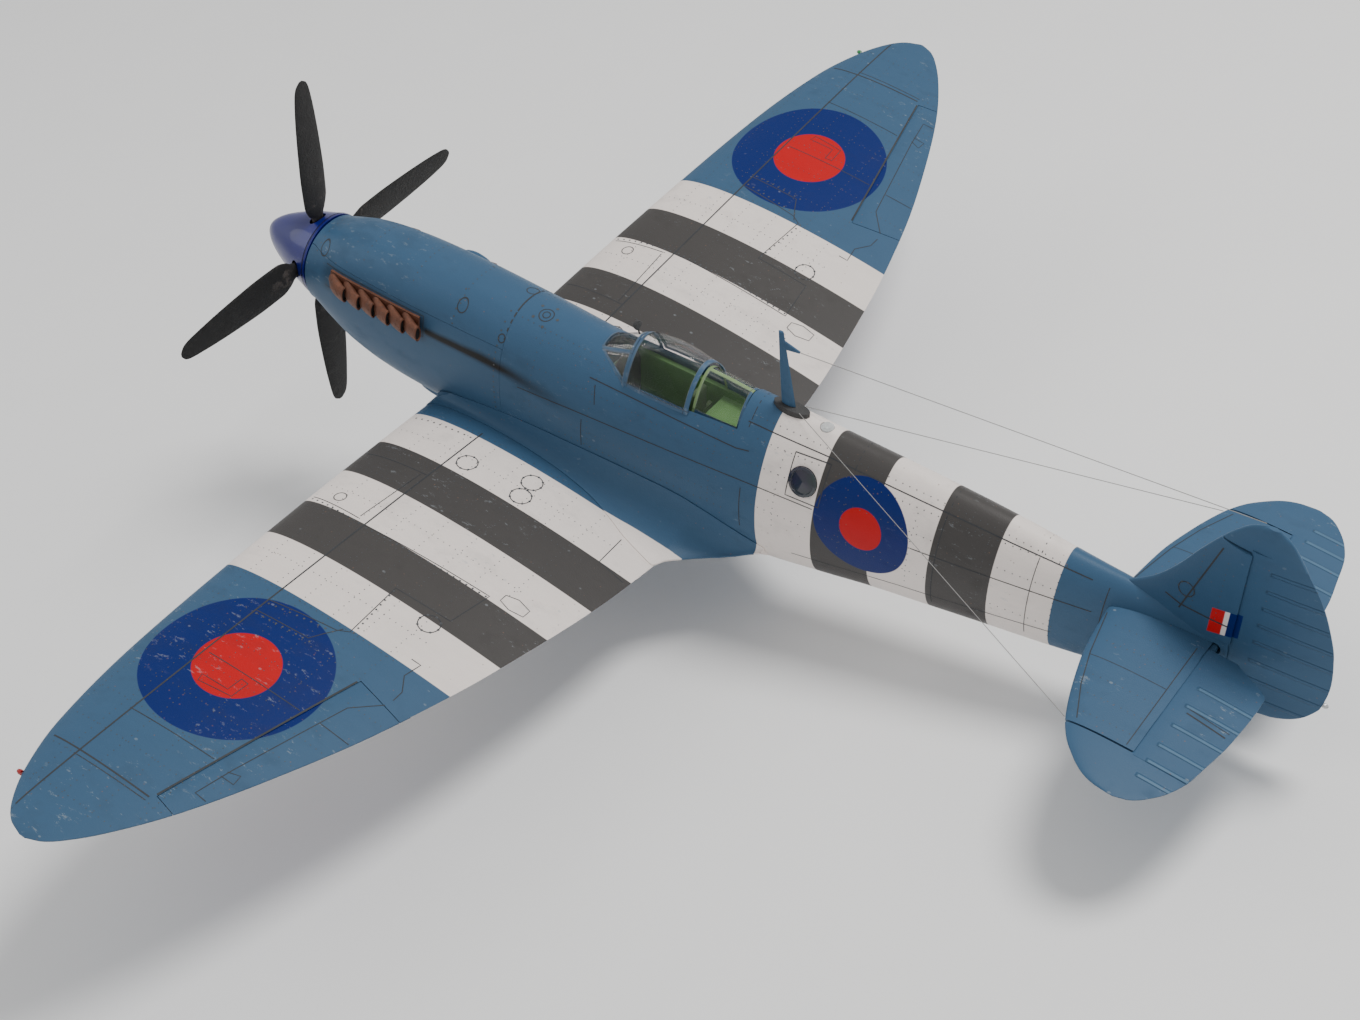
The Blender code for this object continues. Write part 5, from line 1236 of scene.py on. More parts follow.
def build_hull():
    shell = carve(
        hull_solid(COWL_BACK + GAP, 8.825),
        cut(hull_solid(COWL_BACK - 0.1, 7.9, SKIN, 24, 16)),
        cut(prism(cockpit_outline(), -0.05, 1.2, plan)),
        cut(tailplane_skin(GAP, 6, 8)),
        cut(rod((-0.3, ELEVATOR_HINGE, TAIL_HEIGHT), (0.3, ELEVATOR_HINGE, TAIL_HEIGHT),
                0.052, 24)),
        cut(rudder_pocket()),
        cut(rod((0, TAIL_PINTLE_Y, -0.6), (0, TAIL_PINTLE_Y, 0.02), 0.030 + GAP, 20)),
        cut(rod(camera_point(-0.12), camera_point(0.12), CAMERA_RADIUS + GAP, 48)),
        cut(rod((0, LIGHT_Y, 0.62), (0, LIGHT_Y, 0.9), 0.052 + GAP, 32)))
    piece("fuselage_skin", shell, HULL_PAINT, stands_for=["fuselage_shell"])

    def lower(y):
        turn = hull_turn(y, COWL_SPLIT - GAP / 2)
        return arc_shell_ring(y, turn, -math.pi - turn, SKIN, 56)

    def upper(y):
        turn = hull_turn(y, COWL_SPLIT + GAP / 2)
        return arc_shell_ring(y, turn, math.pi - turn, SKIN, 44)

    stations = spread(COWL_FRONT, 0.80, 3) + spread(0.80, COWL_BACK, 36)[1:]
    cowl = carve(loft([lower(y) for y in stations]), add(chin_intake()), cut(chin_duct()))
    piece("cowl_skin", cowl, HULL_PAINT, stands_for=["lower_cowl"])
    piece("hatch_skin", carve(loft([upper(y) for y in stations]), add(blister())), HULL_PAINT,
          stands_for=["top_hatch"])


def blister():
    """Small teardrop bulge on the hatch's starboard shoulder."""
    size = smooth([(1.85, 0.004), (1.90, 0.034), (1.98, 0.046), (2.08, 0.036), (2.18, 0.004)])
    rings = []
    for y in spread(1.85, 2.18, 14):
        centre = hull_point(y, math.pi - hull_turn(y, 0.395)) + Vector((0.012, 0, -0.006))
        rings.append(circle(centre, (0, 1, 0), size(y), 24))
    return loft(rings)


def chin_intake():
    half = smooth([(1.665, 0.118), (1.69, 0.142), (1.74, 0.153), (1.85, 0.160), (2.10, 0.160)])
    drop = smooth([(1.665, 0.055), (1.69, 0.078), (1.74, 0.090), (1.85, 0.100), (2.10, 0.100)])
    return loft([rounded(half(y), hull_bottom(y) - drop(y), hull_bottom(y) + 0.045, y, count=8)
                 for y in spread(1.665, CHIN_BACK, 16)])


def chin_duct():
    return loft([rounded(0.110, -0.825, -0.765, 1.5), rounded(0.110, -0.835, -0.775, 1.74),
                 rounded(0.060, -0.820, -0.795, 2.0)])


def fillet_rows():
    """The fairing's stations, with the sweep between them filled in."""
    parts = 4
    inner, foot, top = (column(FILLET, k) for k in (1, 2, 4))
    rows = []
    for a, b in zip(FILLET, FILLET[1:]):
        for k in range(parts):
            y = a[0] + (b[0] - a[0]) * k / parts
            level = None
            if b[3] is not None:
                start = a[3]
                if start is None:
                    start = WING.heights(a[2], min(a[0], WING.trail(a[2])))[0] + FILLET_LIFT
                level = start + (b[3] - start) * k / parts
            rows.append((y, inner(y), foot(y), level, top(y)))
    return rows + [FILLET[-1]]


def build_fillets(paint):
    for side, place in HALVES:
        blank = loft([[place(p) for p in fillet_ring(*row)] for row in fillet_rows()])
        room = loft([[place(p) for p in ring] for ring in wing_root_room()])
        shaped = carve(blank, cut(coarse_hull(1.6, 5.8, GAP), "MANIFOLD"),
                       cut(room, "MANIFOLD"), cut(belly_blank(GAP), "MANIFOLD"))
        piece(f"fillet_skin_{side}", shaped, paint, stands_for=[f"wing_fillet_{side}"])


def build_wings():
    inner = spread(WING_ROOT, TIP_START, 50)
    tip = [HALF_SPAN - (HALF_SPAN - TIP_START) * (1 - f) ** 2
           for f in spread(0.0, 1.0, 26)][1:]
    for side, place in HALVES:

        def put(a, b, h):
            return place(stowed(a, b, h))

        wheel_pit = round_outline((LEG_LENGTH, WHEEL_SWEEP), WHEEL_RADIUS + 0.022, 40)
        trench = [(-0.085, -0.060), (LEG_LENGTH, -0.050), (LEG_LENGTH, 0.050), (-0.085, 0.060)]
        wing = carve(
            loft([[place(p) for p in WING.ring(s, 34)] for s in inner + tip]),
            cut(aileron().pocket(24, place)),
            cut(flap_pocket(place)),
            cut(prism(wheel_pit, -0.33, 0.178, put)),
            cut(prism(trench, -0.31, 0.062, put)),
            cut(prism(door_outline(0.008), -0.29, -0.028, put), "MANIFOLD"))
        piece(f"wing_skin_{side}", wing, WING_PAINT, stands_for=[f"wing_{side}"])
        moving = aileron().moving(30, place)
        piece(f"aileron_skin_{side}", moving, WING_PAINT, f"aileron_{side}",
              [f"aileron_{side}"])


def build_tail():
    piece("tailplane_skin", carve(tailplane_skin(), cut(elevator_pocket())), TAIL_PAINT,
          stands_for=["tailplane"])
    main = [elevator_ring(s) for s in
            spread(0.125, 0.285, 10) + spread(0.285, ELEVATOR_HORN + 0.02, 30)[1:]]
    horn = [TAILPLANE.ring(1.59 - (1.59 - ELEVATOR_HORN - 0.008) * (1 - f) ** 2, 18)
            for f in spread(0.0, 1.0, 16)]
    rock = rod((-0.17, ELEVATOR_HINGE, TAIL_HEIGHT), (0.17, ELEVATOR_HINGE, TAIL_HEIGHT),
               0.030, 20)
    halves = [loft([[place(p) for p in ring] for ring in rings])
              for place in (to_port, to_starboard) for rings in (main, horn)]
    piece("elevator_skin", merge(rock, *halves), TAIL_PAINT, "elevator", ["elevator"])


FIN_STEPS = 18


def both_sides(port):
    """Closed section from the points of its port side, nose first."""
    return port[::-1] + [to_starboard(p) for p in port]


def fin_half(s, share):
    """Half thickness of the fin: a slender nose that widens to the rudder's hinge."""
    half = 0.056 * min(1.0, math.sqrt(share) * 1.15) + 0.004
    return half + 0.05 * max(0.0, 0.75 - s) * (1 - abs(2 * share - 1))


def fin_section(s):
    lead = FIN.lead(s)
    shares = [(k / FIN_STEPS) ** 1.7 for k in range(FIN_STEPS + 1)]
    return both_sides([Vector((fin_half(s, f), lead + (RUDDER_HINGE - lead) * f, s))
                       for f in shares])


def horn_section(s):
    """The rudder's balance horn, which closes to a round tip."""
    lead, trail = FIN.lead(s), FIN.trail(s)
    port = []
    for k in range(FIN_STEPS + 1):
        f = (1 - math.cos(math.pi * k / FIN_STEPS)) / 2
        half = 0.052 * min(1.0, math.sqrt(f) * 1.4) * (1 - f) ** 0.4 + 0.004
        half *= math.sqrt(max(0.05, 1 - ((s - RUDDER_HORN) / 0.27) ** 2))
        port.append(Vector((half, lead + (trail - lead) * f, s)))
    return both_sides(port)


def build_fin():
    fin = carve(loft([fin_section(s) for s in spread(0.50, RUDDER_HORN - 0.006, 30)]),
                cut(rudder_pocket()))
    piece("fin_skin", fin, FIN_PAINT, stands_for=["fin"])
    body = loft([rudder_ring(s) for s in
                 spread(-0.060, 0.155, 12) + spread(0.155, RUDDER_HORN + 0.03, 40)[1:]])
    horn = loft([horn_section(1.61 - (1.61 - RUDDER_HORN - 0.006) * (1 - f) ** 2)
                 for f in spread(0.0, 1.0, 16)])
    piece("rudder_skin", merge(body, horn), FIN_PAINT, "rudder", ["rudder"])


# ---------------------------------------------------------------- propeller and exhausts
def turned(bm, turn):
    """A solid turned about the propeller's axis."""
    bmesh.ops.rotate(bm, verts=bm.verts, cent=(0, PROP_Y, HUB_Z),
                     matrix=Matrix.Rotation(turn, 3, "Y"))
    return bm


def blade_skin(turn):
    chord, thick, pitch = (column(BLADE, k) for k in (1, 2, 3))
    radii = spread(BLADE[0][0], 1.57, 44) + spread(1.57, PROP_RADIUS, 10)[1:]
    rings = []
    for radius in radii:
        a = math.radians(pitch(radius))
        ring = []
        for k in range(24):
            u = chord(radius) / 2 * math.cos(math.tau * k / 24)
            v = thick(radius) / 2 * math.sin(math.tau * k / 24)
            ring.append(Vector((u * math.cos(a) - v * math.sin(a),
                                PROP_Y + u * math.sin(a) + v * math.cos(a), radius + HUB_Z)))
        rings.append(ring)
    bm = loft(rings)
    return turned(bm, turn)


def blade_slot(turn):
    """Oval room for two opposite blade roots through the spinner."""
    oval = [(0.086 * math.cos(math.tau * k / 32), 0.050 * math.sin(math.tau * k / 32))
            for k in range(32)]
    bm = prism(oval, -0.6, 0.6, lambda a, b, h: Vector((a, PROP_Y + b, h + HUB_Z)))
    return turned(bm, turn)


def build_propeller():
    for k in range(4):
        piece(f"blade_skin_{k + 1}", blade_skin(math.pi / 2 * k), BLADE_PAINT, "propeller",
              [f"prop_blade_{k + 1}"])
    bulge = smooth([(0.020, 0.0), (0.040, 0.055), (0.090, 0.108), (0.175, 0.168), (0.305, 0.234),
                    (0.44, 0.290), (0.58, 0.334), (0.668, SPINNER_RADIUS)])
    outside = [(bulge(0.020 + 0.648 * f * f), 0.020 + 0.648 * f * f)
               for f in spread(0.0, 1.0, 30)]
    inside = [(SPINNER_RADIUS - 0.016, 0.668), (0.274, 0.44), (0.148, 0.19), (0.0, 0.09)]
    spinner = carve(capped_turn((0, 0, HUB_Z), (0, 1, 0), outside + inside, 96),
                    cut(blade_slot(0)), cut(blade_slot(math.pi / 2)))
    piece("spinner_skin", spinner, SPINNER_PAINT, "propeller", ["spinner"])
    plate = [(0.0, 0.50), (0.135, 0.50), (0.135, 0.655), (0.30, 0.655), (0.30, 0.668 + GAP),
             (SPINNER_RADIUS, 0.668 + GAP), (SPINNER_RADIUS, SPINNER_BACK), (0.0, SPINNER_BACK)]
    piece("backplate_skin", capped_turn((0, 0, HUB_Z), (0, 1, 0), plate, 96), SPINNER_PAINT,
          "propeller", ["spinner_backplate"])


STUB = [  # distance along, out from the skin, aft, half thickness, half height
    (0.0, 0.012, -0.030, 0.050, 0.085), (0.4, 0.050, 0.035, 0.046, 0.080),
    (0.8, 0.078, 0.105, 0.040, 0.075), (1.0, 0.088, 0.150, 0.038, 0.072)]


def stub_ring(y, place, along, swell=1.0, into=0.0):
    """Oval section of an exhaust stub, which bends from outwards to aft."""
    out, aft, thick, tall = (column(STUB, k)(along) for k in (1, 2, 3, 4))
    surface = hull_point(y, hull_turn(y, EXHAUST_HEIGHT)).x
    lean = min(1.0, out / 0.088)
    forward = Vector((1 - lean, lean, 0)).normalized()
    across = Vector((forward.y, -forward.x, 0))
    centre = Vector((surface + out, y + aft, EXHAUST_HEIGHT)) + forward * into
    return [place(centre + across * (swell * thick * math.cos(math.tau * k / 28))
                  + Vector((0, 0, swell * tall * math.sin(math.tau * k / 28))))
            for k in range(28)]


def build_exhausts():
    for side, place in HALVES:
        rings = []
        for y in spread(EXHAUST_FIRST - 0.075, EXHAUST_FIRST + 5.6 * EXHAUST_STEP, 12):
            ring = []
            for z, out in ((0.085, -0.010), (0.165, -0.010), (0.250, -0.010), (0.250, 0.020),
                           (0.165, 0.020), (0.085, 0.020)):
                ring.append(place(Vector((hull_point(y, hull_turn(y, z)).x + out, y, z))))
            rings.append(ring)
        stubs, mouths = [loft(rings)], []
        for k in range(6):
            y = EXHAUST_FIRST + k * EXHAUST_STEP
            outer = [stub_ring(y, place, t) for t in spread(0.0, 1.0, 10)]
            lips = [stub_ring(y, place, 1.0, 0.86, 0.004), stub_ring(y, place, 1.0, 0.76, -0.008)]
            stubs.append(loft(outer + lips))
            # A near-black plug just inside each mouth: soot, and painted shade where the outlet is hollow.
            mouths.append(loft([stub_ring(y, place, 1.0, 0.74, -0.016),
                                stub_ring(y, place, 1.0, 0.77, -0.0065)]))
        piece(f"exhaust_stubs_{side}", merge(*stubs), EXHAUST_PAINT,
              stands_for=[f"exhaust_{side}"])
        piece(f"exhaust_mouths_{side}", merge(*mouths), MOUTH_SOOT_AND_SHADE)


# ---------------------------------------------------------------- canopy
def build_canopy():
    screen = []
    for t in spread(0.0, 1.0, 16):
        y = SCREEN_FRONT + (SCREEN_BACK - SCREEN_FRONT) * t
        half = SCREEN_HALF_FRONT + (SCREEN_HALF_BACK - SCREEN_HALF_FRONT) * t ** 0.9
        foot = hull_surface(y, half) - 0.004
        top = SCREEN_TOP_FRONT + (SCREEN_TOP_BACK - SCREEN_TOP_FRONT) * t
        screen.append(glass_ring(y, half, foot, top, CLEAR_SKIN, 36))
    shaped = carve(loft(screen), cut(coarse_hull(3.4, 4.1, 0.0), "MANIFOLD"))
    piece("windscreen_glass", shaped, clear_paint("windscreen_clear", screen_framing),
          stands_for=["windscreen"])
    half, top = column(HOOD, 1), column(HOOD, 2)
    hood = [glass_ring(y, half(y), HOOD_FOOT, top(y), CLEAR_SKIN, 40)
            for y in spread(HOOD[0][0], HOOD[-1][0], 24)]
    piece("hood_glass", loft(hood), clear_paint("hood_clear", hood_framing), "canopy",
          ["canopy_hood"])
    half = smooth([(REAR_FRONT, 0.240), (4.70, 0.236), (REAR_BACK, 0.222)])
    top = smooth([(REAR_FRONT, 0.722), (4.70, 0.716), (REAR_BACK, 0.702)])
    rear = [glass_ring(y, half(y), TUB_TOP + model(0.9), top(y), CLEAR_SKIN, 36)
            for y in spread(REAR_FRONT, REAR_BACK, 12)]
    piece("rear_glass", loft(rear), clear_paint("rear_clear", rear_framing),
          stands_for=["rear_glazing"])


def build_details():
    """Small fittings that only show: the mirror, and the pad behind the pilot's head."""
    stalk = rod((0, 3.86, 0.735), (0, 3.84, 0.800), 0.007, 12)
    shell = loft([circle((0, y, 0.815), (0, 1, 0), r, 28) for y, r in
                  ((3.812, 0.012), (3.820, 0.030), (3.835, 0.038), (3.850, 0.040),
                   (3.853, 0.036))])
    piece("rear_mirror", merge(stalk, shell), DARK_PLASTIC)
    pad = loft([rounded(0.072 * g, 0.33 - 0.075 * g, 0.33 + 0.075 * g, y, 0.5, 8)
                for y, g in ((4.330, 0.55), (4.338, 0.84), (4.352, 0.97), (4.366, 1.0),
                             (4.377, 0.92))])
    headrest = piece("headrest_pad", pad, PAD_LEATHER)


# ---------------------------------------------------------------- panel lines and screws
def wing_top(sign):
    def at(u, v):
        return Vector((sign * u, v, WING.heights(u, v)[0]))
    return at


def mark_wings():
    for side, sign in SIDES:
        m = Marks(wing_top(sign), sign)
        spar = 2.742
        m.line((0.60, spar), (5.55, spar + 0.015), half=STRONG_LINE)
        # Dark ribbon just ahead of the aileron's hinge: painted shade of the gap.
        m.line(*[(u, hinge_station(u) - 0.020) for u in
                 spread(AILERON["inner"][0] + 0.01, AILERON["outer"][0] - 0.01, 12)], half=AILERON_GAP_SHADE)
        m.line((1.29, 2.690), (1.96, 2.655))
        m.line((4.926, 2.50), (4.930, 3.40), half=0.0062)
        m.line((4.970, spar), (4.965, 3.40), half=FINE_LINE)
        m.line((1.30, 2.14), (1.275, spar))
        m.line((1.955, 2.17), (1.985, 2.66))
        m.line((2.02, spar), (1.980, 3.92), (2.37, 3.87), (2.387, 3.37), (2.94, 3.413),
               (2.99, 3.33), (3.07, spar))
        m.line((3.205, spar), (3.18, 3.233), (3.082, 3.283), (2.95, 3.36))
        m.line((4.444, spar), (4.42, 3.50))
        m.line((3.726, spar + 0.05), (3.725, 3.64))
        m.line((2.84, 3.90), (2.84, 3.984), (2.993, 3.961), (3.119, 4.047), (3.22, 4.05))
        m.line((3.773, 3.147), (3.78, 3.213), (3.938, 3.204), (3.971, 2.921), (3.910, 2.902),
               (3.905, 3.140), (3.773, 3.147), half=FINE_LINE)
        m.line((1.885, 4.00), (1.855, 4.10), (1.885, 4.22), (1.965, 4.22), (1.985, 4.10),
               (1.955, 4.00), (1.885, 4.00), half=FINE_LINE)
        m.line((1.15, 4.53), (1.11, 4.28), (0.80, 4.26))
        m.ring((1.865, 2.365), 0.050)
        for centre in ((0.960, 2.880), (0.985, 3.430), (0.805, 3.400), (2.495, 3.775)):
            m.ring(centre, 0.085)
            m.screws(centre, 0.085)
        for a, b in (((1.98, 2.18), (2.03, 2.70)), ((2.04, 2.78), (2.00, 3.90)),
                     ((3.10, 2.78), (3.02, 3.32)), ((0.72, 2.15), (0.70, 2.70)),
                     ((2.42, 3.38), (2.93, 3.44)), ((3.23, 2.78), (3.20, 3.26))):
            m.rivets(a, b, 0.06, 0.009)
        for k in range(17):
            u = 0.62 + 0.29 * k
            back = min(WING.trail(u) - 0.05, hinge_station(u) - 0.03)
            m.rivets((u, WING.lead(u) + 0.10), (u, back), 0.056, RIVET)
        for k in range(7):
            v = 2.40 + 0.27 * k
            reach = max(u for u in spread(0.62, 5.3, 90)
                        if WING.lead(u) + 0.05 < v < min(WING.trail(u), hinge_station(u)) - 0.04)
            m.rivets((0.64, v), (reach, v), 0.056, RIVET)
        m.place(f"wing_marks_{side}")
        m = Marks(wing_top(sign), sign)
        m.line((3.29, 4.035), (3.487, 3.865), (4.409, 3.655), (4.708, 3.60), (4.714, 3.70))
        m.line((3.716, 3.82), (3.723, 4.08))
        m.line((4.442, 3.64), (4.409, 3.73), (4.493, 3.74), (4.496, 3.63), half=FINE_LINE)
        for u in (3.45, 3.90, 4.12, 4.60):
            m.rivets((u, hinge_station(u) + 0.10), (u, WING.trail(u) - 0.04), 0.05, RIVET)
        m.place(f"aileron_marks_{side}", f"aileron_{side}")


def hinge_station(u):
    """Where the aileron's hinge line, carried on inboard, crosses span u."""
    (u0, v0), (u1, v1) = AILERON["inner"], AILERON["outer"]
    return v0 + (v1 - v0) * (u - u0) / (u1 - u0) if u < u1 else 9.0


def hull_side(sign):
    def at(y, z):
        point = hull_point(y, hull_turn(y, z))
        return Vector((sign * point.x, y, point.z))
    return at


def hull_deck(y, x):
    return Vector((x, y, hull_surface(y, x)))


def mark_hull():
    for side, sign in SIDES:
        m = Marks(hull_side(sign), sign)
        m.line((3.60, 0.375), (4.95, 0.375), (5.06, 0.395))
        m.line((4.98, 0.575), (5.70, 0.585), (6.9, 0.575), (7.8, 0.545), half=FINE_LINE)
        m.line((2.98, 0.050), (3.46, 0.080), (5.20, 0.160), (5.66, 0.18))
        m.line((6.47, 0.225), (7.50, 0.300), (7.86, 0.325))
        m.line((5.50, -0.38), (6.40, -0.20), (7.60, -0.02), half=FINE_LINE)
        m.line((3.665, 0.345), (3.70, 0.205))
        m.line((3.605, 0.040), (3.605, -0.225))
        m.line((5.055, 0.090), (5.062, -0.300))
        m.line((6.672, 0.560), (6.672, -0.25), half=FINE_LINE)
        m.line((7.93, 0.540), (7.93, -0.10))
        m.line((7.40, 0.55), (7.40, -0.15), half=0.0028)
        m.line((0.955, 0.265), (2.02, 0.265), (2.02, 0.075), (0.955, 0.075), half=FINE_LINE)
        m.rivets((2.745, -0.45), (2.745, 0.53), 0.055, 0.0085)
        m.rivets((2.30, 0.32), (2.30, 0.54), 0.055, 0.0085)
        m.rivets((3.39, -0.20), (4.90, -0.18), 0.06, 0.0065)
        for k in range(9):
            m.rivets((3.10 + 0.56 * k, -0.20 + 0.015 * k), (3.10 + 0.56 * k, 0.50), 0.058, RIVET)
        for level in (-0.06, 0.28, 0.46):
            m.rivets((3.05, level), (4.90, level), 0.058, RIVET)
            m.rivets((5.10, level + 0.04), (7.60, level + 0.10), 0.058, RIVET)
        if sign > 0:
            m.line((5.42, 0.530), (5.715, 0.550), (5.705, 0.214), (5.425, 0.202), (5.42, 0.530))
            m.ring((0.878, 0.335), 0.045)
            m.ring((2.345, 0.462), 0.045)
            m.ring((2.770, 0.373), 0.030)
        m.place(f"hull_marks_{side}")
    m = Marks(hull_deck, -1)
    for station in (0.80, 1.32, 1.84, 2.32):
        m.rivets((station, -0.27), (station, 0.27), 0.055, 0.0065)
    m.line((2.795, -0.33), (2.795, 0.33), half=STRONG_LINE)
    m.ring((2.752, -0.105), 0.050)
    m.ring((3.018, 0.068), 0.060)
    m.ring((3.018, 0.068), 0.030)
    m.screws((3.018, 0.068), 0.105, 5, 0.014)
    for y in (5.0, 5.9, 6.672, 7.40):
        m.line((y, -0.20), (y, 0.20), half=FINE_LINE)
    for x in (-0.17, 0.17):
        m.rivets((2.86, x), (3.52, x), 0.055, 0.0055)
        m.rivets((5.0, x * 0.8), (7.6, x * 0.6), 0.058, RIVET)
    m.place("deck_marks")


def mark_tail():
    for side, sign in SIDES:
        def top(u, v, sign=sign):
            return Vector((sign * u, v, section_half(u, v)[0]))

        m = Marks(top, sign)
        m.line((0.204, 7.985), (0.60, 8.065), (0.888, 8.150), (1.17, 8.27))
        m.line((0.17, 8.645), (1.19, 8.645), half=FINE_LINE)
        m.line((0.62, 8.07), (0.62, 8.64), half=0.0028)
        for u in (0.30, 0.46, 0.78, 0.94, 1.10):
            m.rivets((u, TAILPLANE.lead(u) + 0.12), (u, 8.62), 0.052, RIVET)
        m.place(f"tailplane_marks_{side}")
        m = Marks(top, sign)
        m.line((0.715, 8.842), (0.745, 9.14), half=0.006)
        m.line((0.676, 8.847), (0.70, 9.15), half=FINE_LINE)
        m.place(f"elevator_marks_{side}", "elevator")

        def face(y, z, sign=sign):
            share = max(0.0, (y - FIN.lead(z)) / (RUDDER_HINGE - FIN.lead(z)))
            return Vector((sign * fin_half(z, share), y, z))

        m = Marks(face, sign)
        m.line((8.42, 0.62), (8.62, 1.30), half=0.006)
        m.line((8.30, 0.685), (8.42, 0.655), (8.78, 0.655), half=0.006)
        m.ring((8.44, 0.80), 0.060)
        m.screws((8.44, 0.80), 0.060, 8, 0.009)
        for y in (8.50, 8.68):
            m.rivets((y, 0.68), (y, 1.20), 0.052, RIVET)
        m.place(f"fin_marks_{side}")


# ---------------------------------------------------------------- the frame's own parts
NODE_PAINTS = {  # slot: maker of its finish, and what the maker takes
    "grey_blue_paint": (plain_paint, "plain_blue", BLUE),
    "deep_blue_paint": (plain_paint, "plain_deep_blue", (0.001, 0.005, 0.14), 0.3),
    "black_paint": (grained, "satin_black", (0.006, 0.006, 0.006), (0.024, 0.023, 0.022), 0.5),
    "dark_plastic": (grained, "moulded_grey", (0.020, 0.020, 0.022), (0.055, 0.054, 0.053), 0.5),
    "stained_metal": (grained, "stained_steel", (0.07, 0.03, 0.02), (0.24, 0.11, 0.07), 0.5, 12.0,
                      0.4),
    "motor_winding": (grained, "winding_copper", (0.25, 0.10, 0.04), (0.50, 0.24, 0.10), 0.35,
                      40.0, 0.8, 0.2, (1, 4, 1)),
    "interior_green": (grained, "interior_green", (0.085, 0.195, 0.058), (0.145, 0.300, 0.092),
                       0.55),
    "seat_leather": (grained, "seat_leather", (0.075, 0.120, 0.055), (0.130, 0.190, 0.090), 0.6,
                     30.0, 0.0, 0.4),
    "clear_plastic": (lens_paint, "clear_lens", (0.72, 0.74, 0.74), (0.88, 0.90, 0.90)),
    "bright_steel": (grained, "brushed_steel", (0.45, 0.46, 0.47), (0.68, 0.69, 0.70), 0.26, 24.0,
                     1.0, 0.06, (1, 1, 0.2)),
    "tyre_rubber": (grained, "tyre_rubber", (0.012, 0.012, 0.012), (0.034, 0.033, 0.031), 0.78,
                    30.0, 0.0, 0.5),
    "carbon_tube": (grained, "carbon_tube", (0.010, 0.010, 0.011), (0.040, 0.040, 0.042), 0.35,
                    60.0),
    "red_lens": (lens_paint, "red_lens", (0.30, 0.004, 0.004), (0.55, 0.020, 0.015)),
    "green_lens": (lens_paint, "green_lens", (0.005, 0.20, 0.04), (0.02, 0.36, 0.09)),
    "silver_lens": (lens_paint, "silver_lens", (0.52, 0.53, 0.53), (0.75, 0.76, 0.76)),
    "battery_wrap": (grained, "battery_wrap", (0.02, 0.04, 0.13), (0.05, 0.09, 0.24), 0.3),
    "pale_wire": (grained, "pale_wire", (0.24, 0.235, 0.23), (0.36, 0.35, 0.34), 0.45, 60.0),
}


def mast_paint():
    g = Paint("mast_blue")
    foot = hull_surface(MAST_STATION, 0.0) + MAST_FOOT
    return worn_paint(g, g.mix(g.above(g.z, foot), (0.014, 0.014, 0.015), BLUE), chips=0.4)


def window_paint():
    # The window's colour is a painted sheen: its purple to green reflection is painted into the base
    # colour.
    g = Paint("window_painted_reflection")
    sheen = g.mix(g.noise(5.0, 3), (0.035, 0.006, 0.060), (0.008, 0.050, 0.020))
    return g.finish(sheen, 0.05 + g.noise(40.0, 3) * 0.05, coat=0.6)


def paint_nodes():
    """Give each of the frame's own parts the finish of its slot, and two of them their own."""
    paints = {}
    own = {"aerial_mast": mast_paint(), "camera_window": window_paint()}
    slots = {part["node"]: part["material_slot"] for part in frame["record"]["subparts"]}
    for name, node in frame["nodes"].items():
        slot = slots[name]
        if slot not in paints:
            maker, *inputs = NODE_PAINTS[slot]
            paints[slot] = maker(*inputs)
        for place in node.material_slots:
            place.material = own.get(name, paints[slot])


# ---------------------------------------------------------------- studio
CAMERA_TURN = math.radians(125.01)
CAMERA_RISE = math.radians(44.80)
CAMERA_ROLL = math.radians(0.50)
CAMERA_DISTANCE = 16.865
CAMERA_TARGET = Vector((1.003, 4.949, 0.3))
SENSOR = 36.0
LENS = 61.6
LIGHTS = (  # name, place, size, power, colour
    ("key", (-1.0, 1.5, 3.7), 1.5, 120.0, (1.0, 0.99, 0.97)),
    ("fill", (1.2, -3.2, 2.6), 2.6, 26.0, (0.96, 0.98, 1.0)),
)
SKY_STRENGTH = 0.55
FLOOR_REACH = 12.0
FLOOR_DROP = 0.0002                 # keeps the floor clear of the wheels


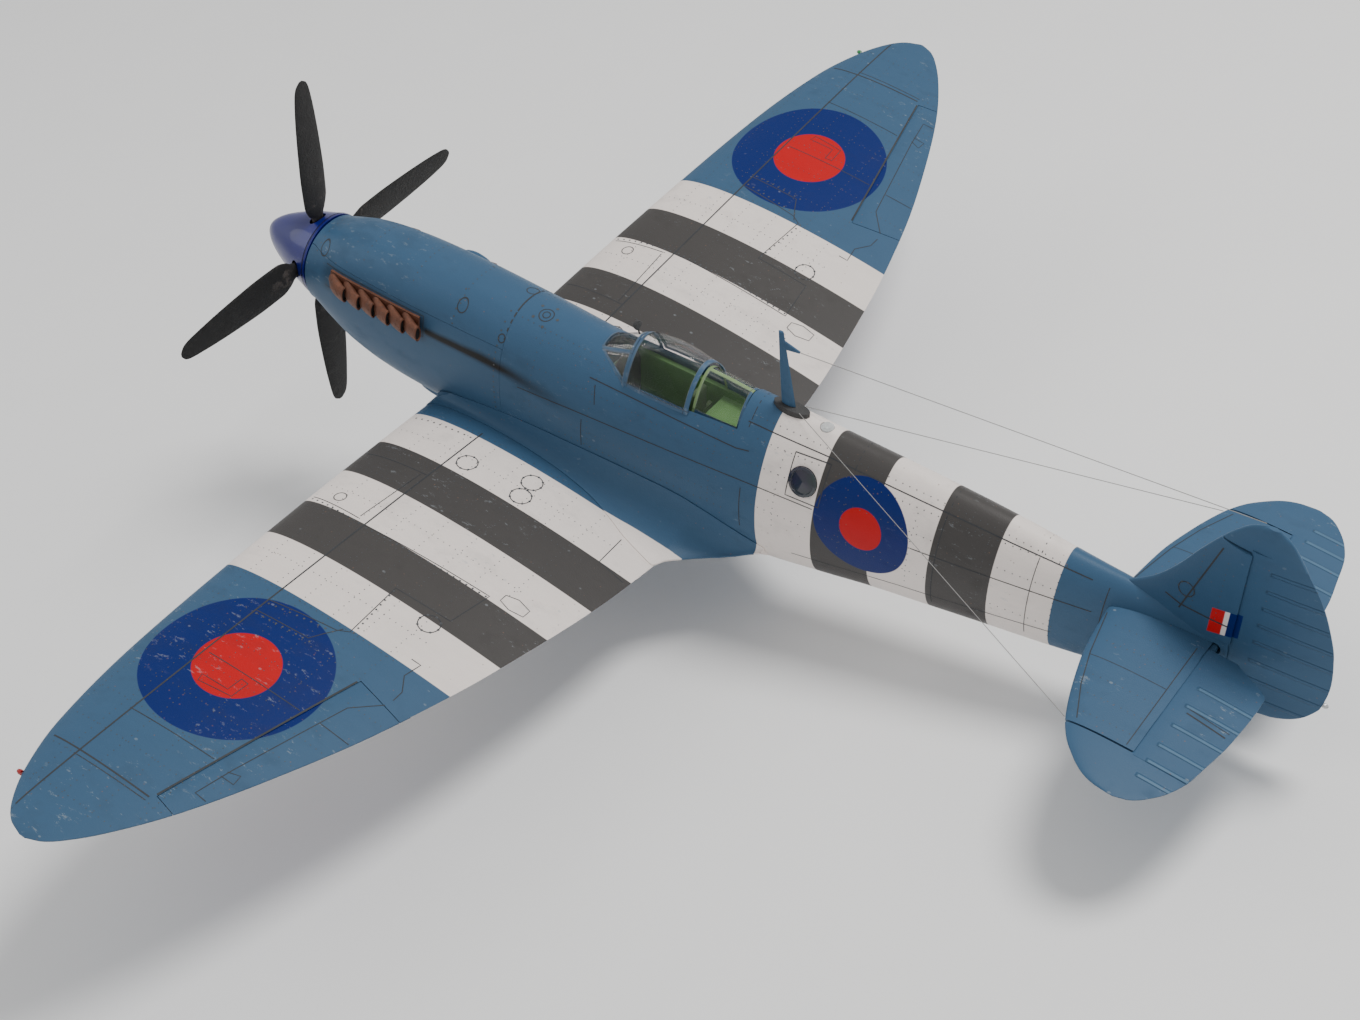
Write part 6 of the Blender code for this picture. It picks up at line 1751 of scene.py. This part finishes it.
def set_camera():
    back = Vector((math.sin(CAMERA_TURN) * math.cos(CAMERA_RISE),
                   -math.cos(CAMERA_TURN) * math.cos(CAMERA_RISE), math.sin(CAMERA_RISE)))
    level = Vector((0, 0, 1)).cross(back).normalized()
    upright = back.cross(level)
    right = level * math.cos(CAMERA_ROLL) + upright * math.sin(CAMERA_ROLL)
    up = upright * math.cos(CAMERA_ROLL) - level * math.sin(CAMERA_ROLL)
    camera = bpy.data.cameras.new("camera")
    camera.sensor_width = SENSOR
    camera.lens = LENS
    camera.clip_start, camera.clip_end = 0.05, 60.0
    held = bpy.data.objects.new("camera", camera)
    bpy.context.scene.collection.objects.link(held)
    place = (CAMERA_TARGET + back * CAMERA_DISTANCE) * SCALE
    held.matrix_world = (AIRFRAME @ Matrix.Translation(place)
                         @ Matrix((right, up, back)).transposed().to_4x4())
    bpy.context.scene.camera = held


def lamp(name, position, size, power, colour):
    light = bpy.data.lights.new(name, "AREA")
    light.shape = "DISK"
    light.size = size
    light.energy = power
    light.color = colour
    held = bpy.data.objects.new(name, light)
    bpy.context.scene.collection.objects.link(held)
    held.location = position
    held.rotation_euler = Vector(position).to_track_quat("Z", "Y").to_euler()


def light_studio():
    for light in LIGHTS:
        lamp(*light)
    world = bpy.data.worlds.new("studio")
    world.use_nodes = True
    sky = world.node_tree.nodes["Background"].inputs
    sky["Color"].default_value = (1.0, 1.0, 1.0, 1.0)
    sky["Strength"].default_value = SKY_STRENGTH
    bpy.context.scene.world = world


def lay_floor():
    g = Paint("studio_floor")
    cloud = g.noise(1.2, 4)
    grain = g.noise(60.0, 3)
    paint = g.finish(g.mix(cloud, (0.93, 0.93, 0.93), (0.96, 0.96, 0.96)), 0.85 + grain * 0.1,
                     grain * 0.05, 0.002)
    bm = bmesh.new()
    bmesh.ops.create_grid(bm, x_segments=24, y_segments=24, size=FLOOR_REACH)
    mesh = bpy.data.meshes.new("studio_floor")
    bm.to_mesh(mesh)
    bm.free()
    mesh.materials.append(paint)
    floor = bpy.data.objects.new("studio_floor", mesh)
    bpy.context.scene.collection.objects.link(floor)
    floor.location = (0, 0, -FLOOR_DROP)


# ---------------------------------------------------------------- the model
build_hull()
build_fillets(fillet_paint())
build_wings()
build_tail()
build_fin()
build_propeller()
build_exhausts()
build_canopy()
build_details()
mark_wings()
mark_hull()
mark_tail()
paint_nodes()
set_camera()
light_studio()
lay_floor()
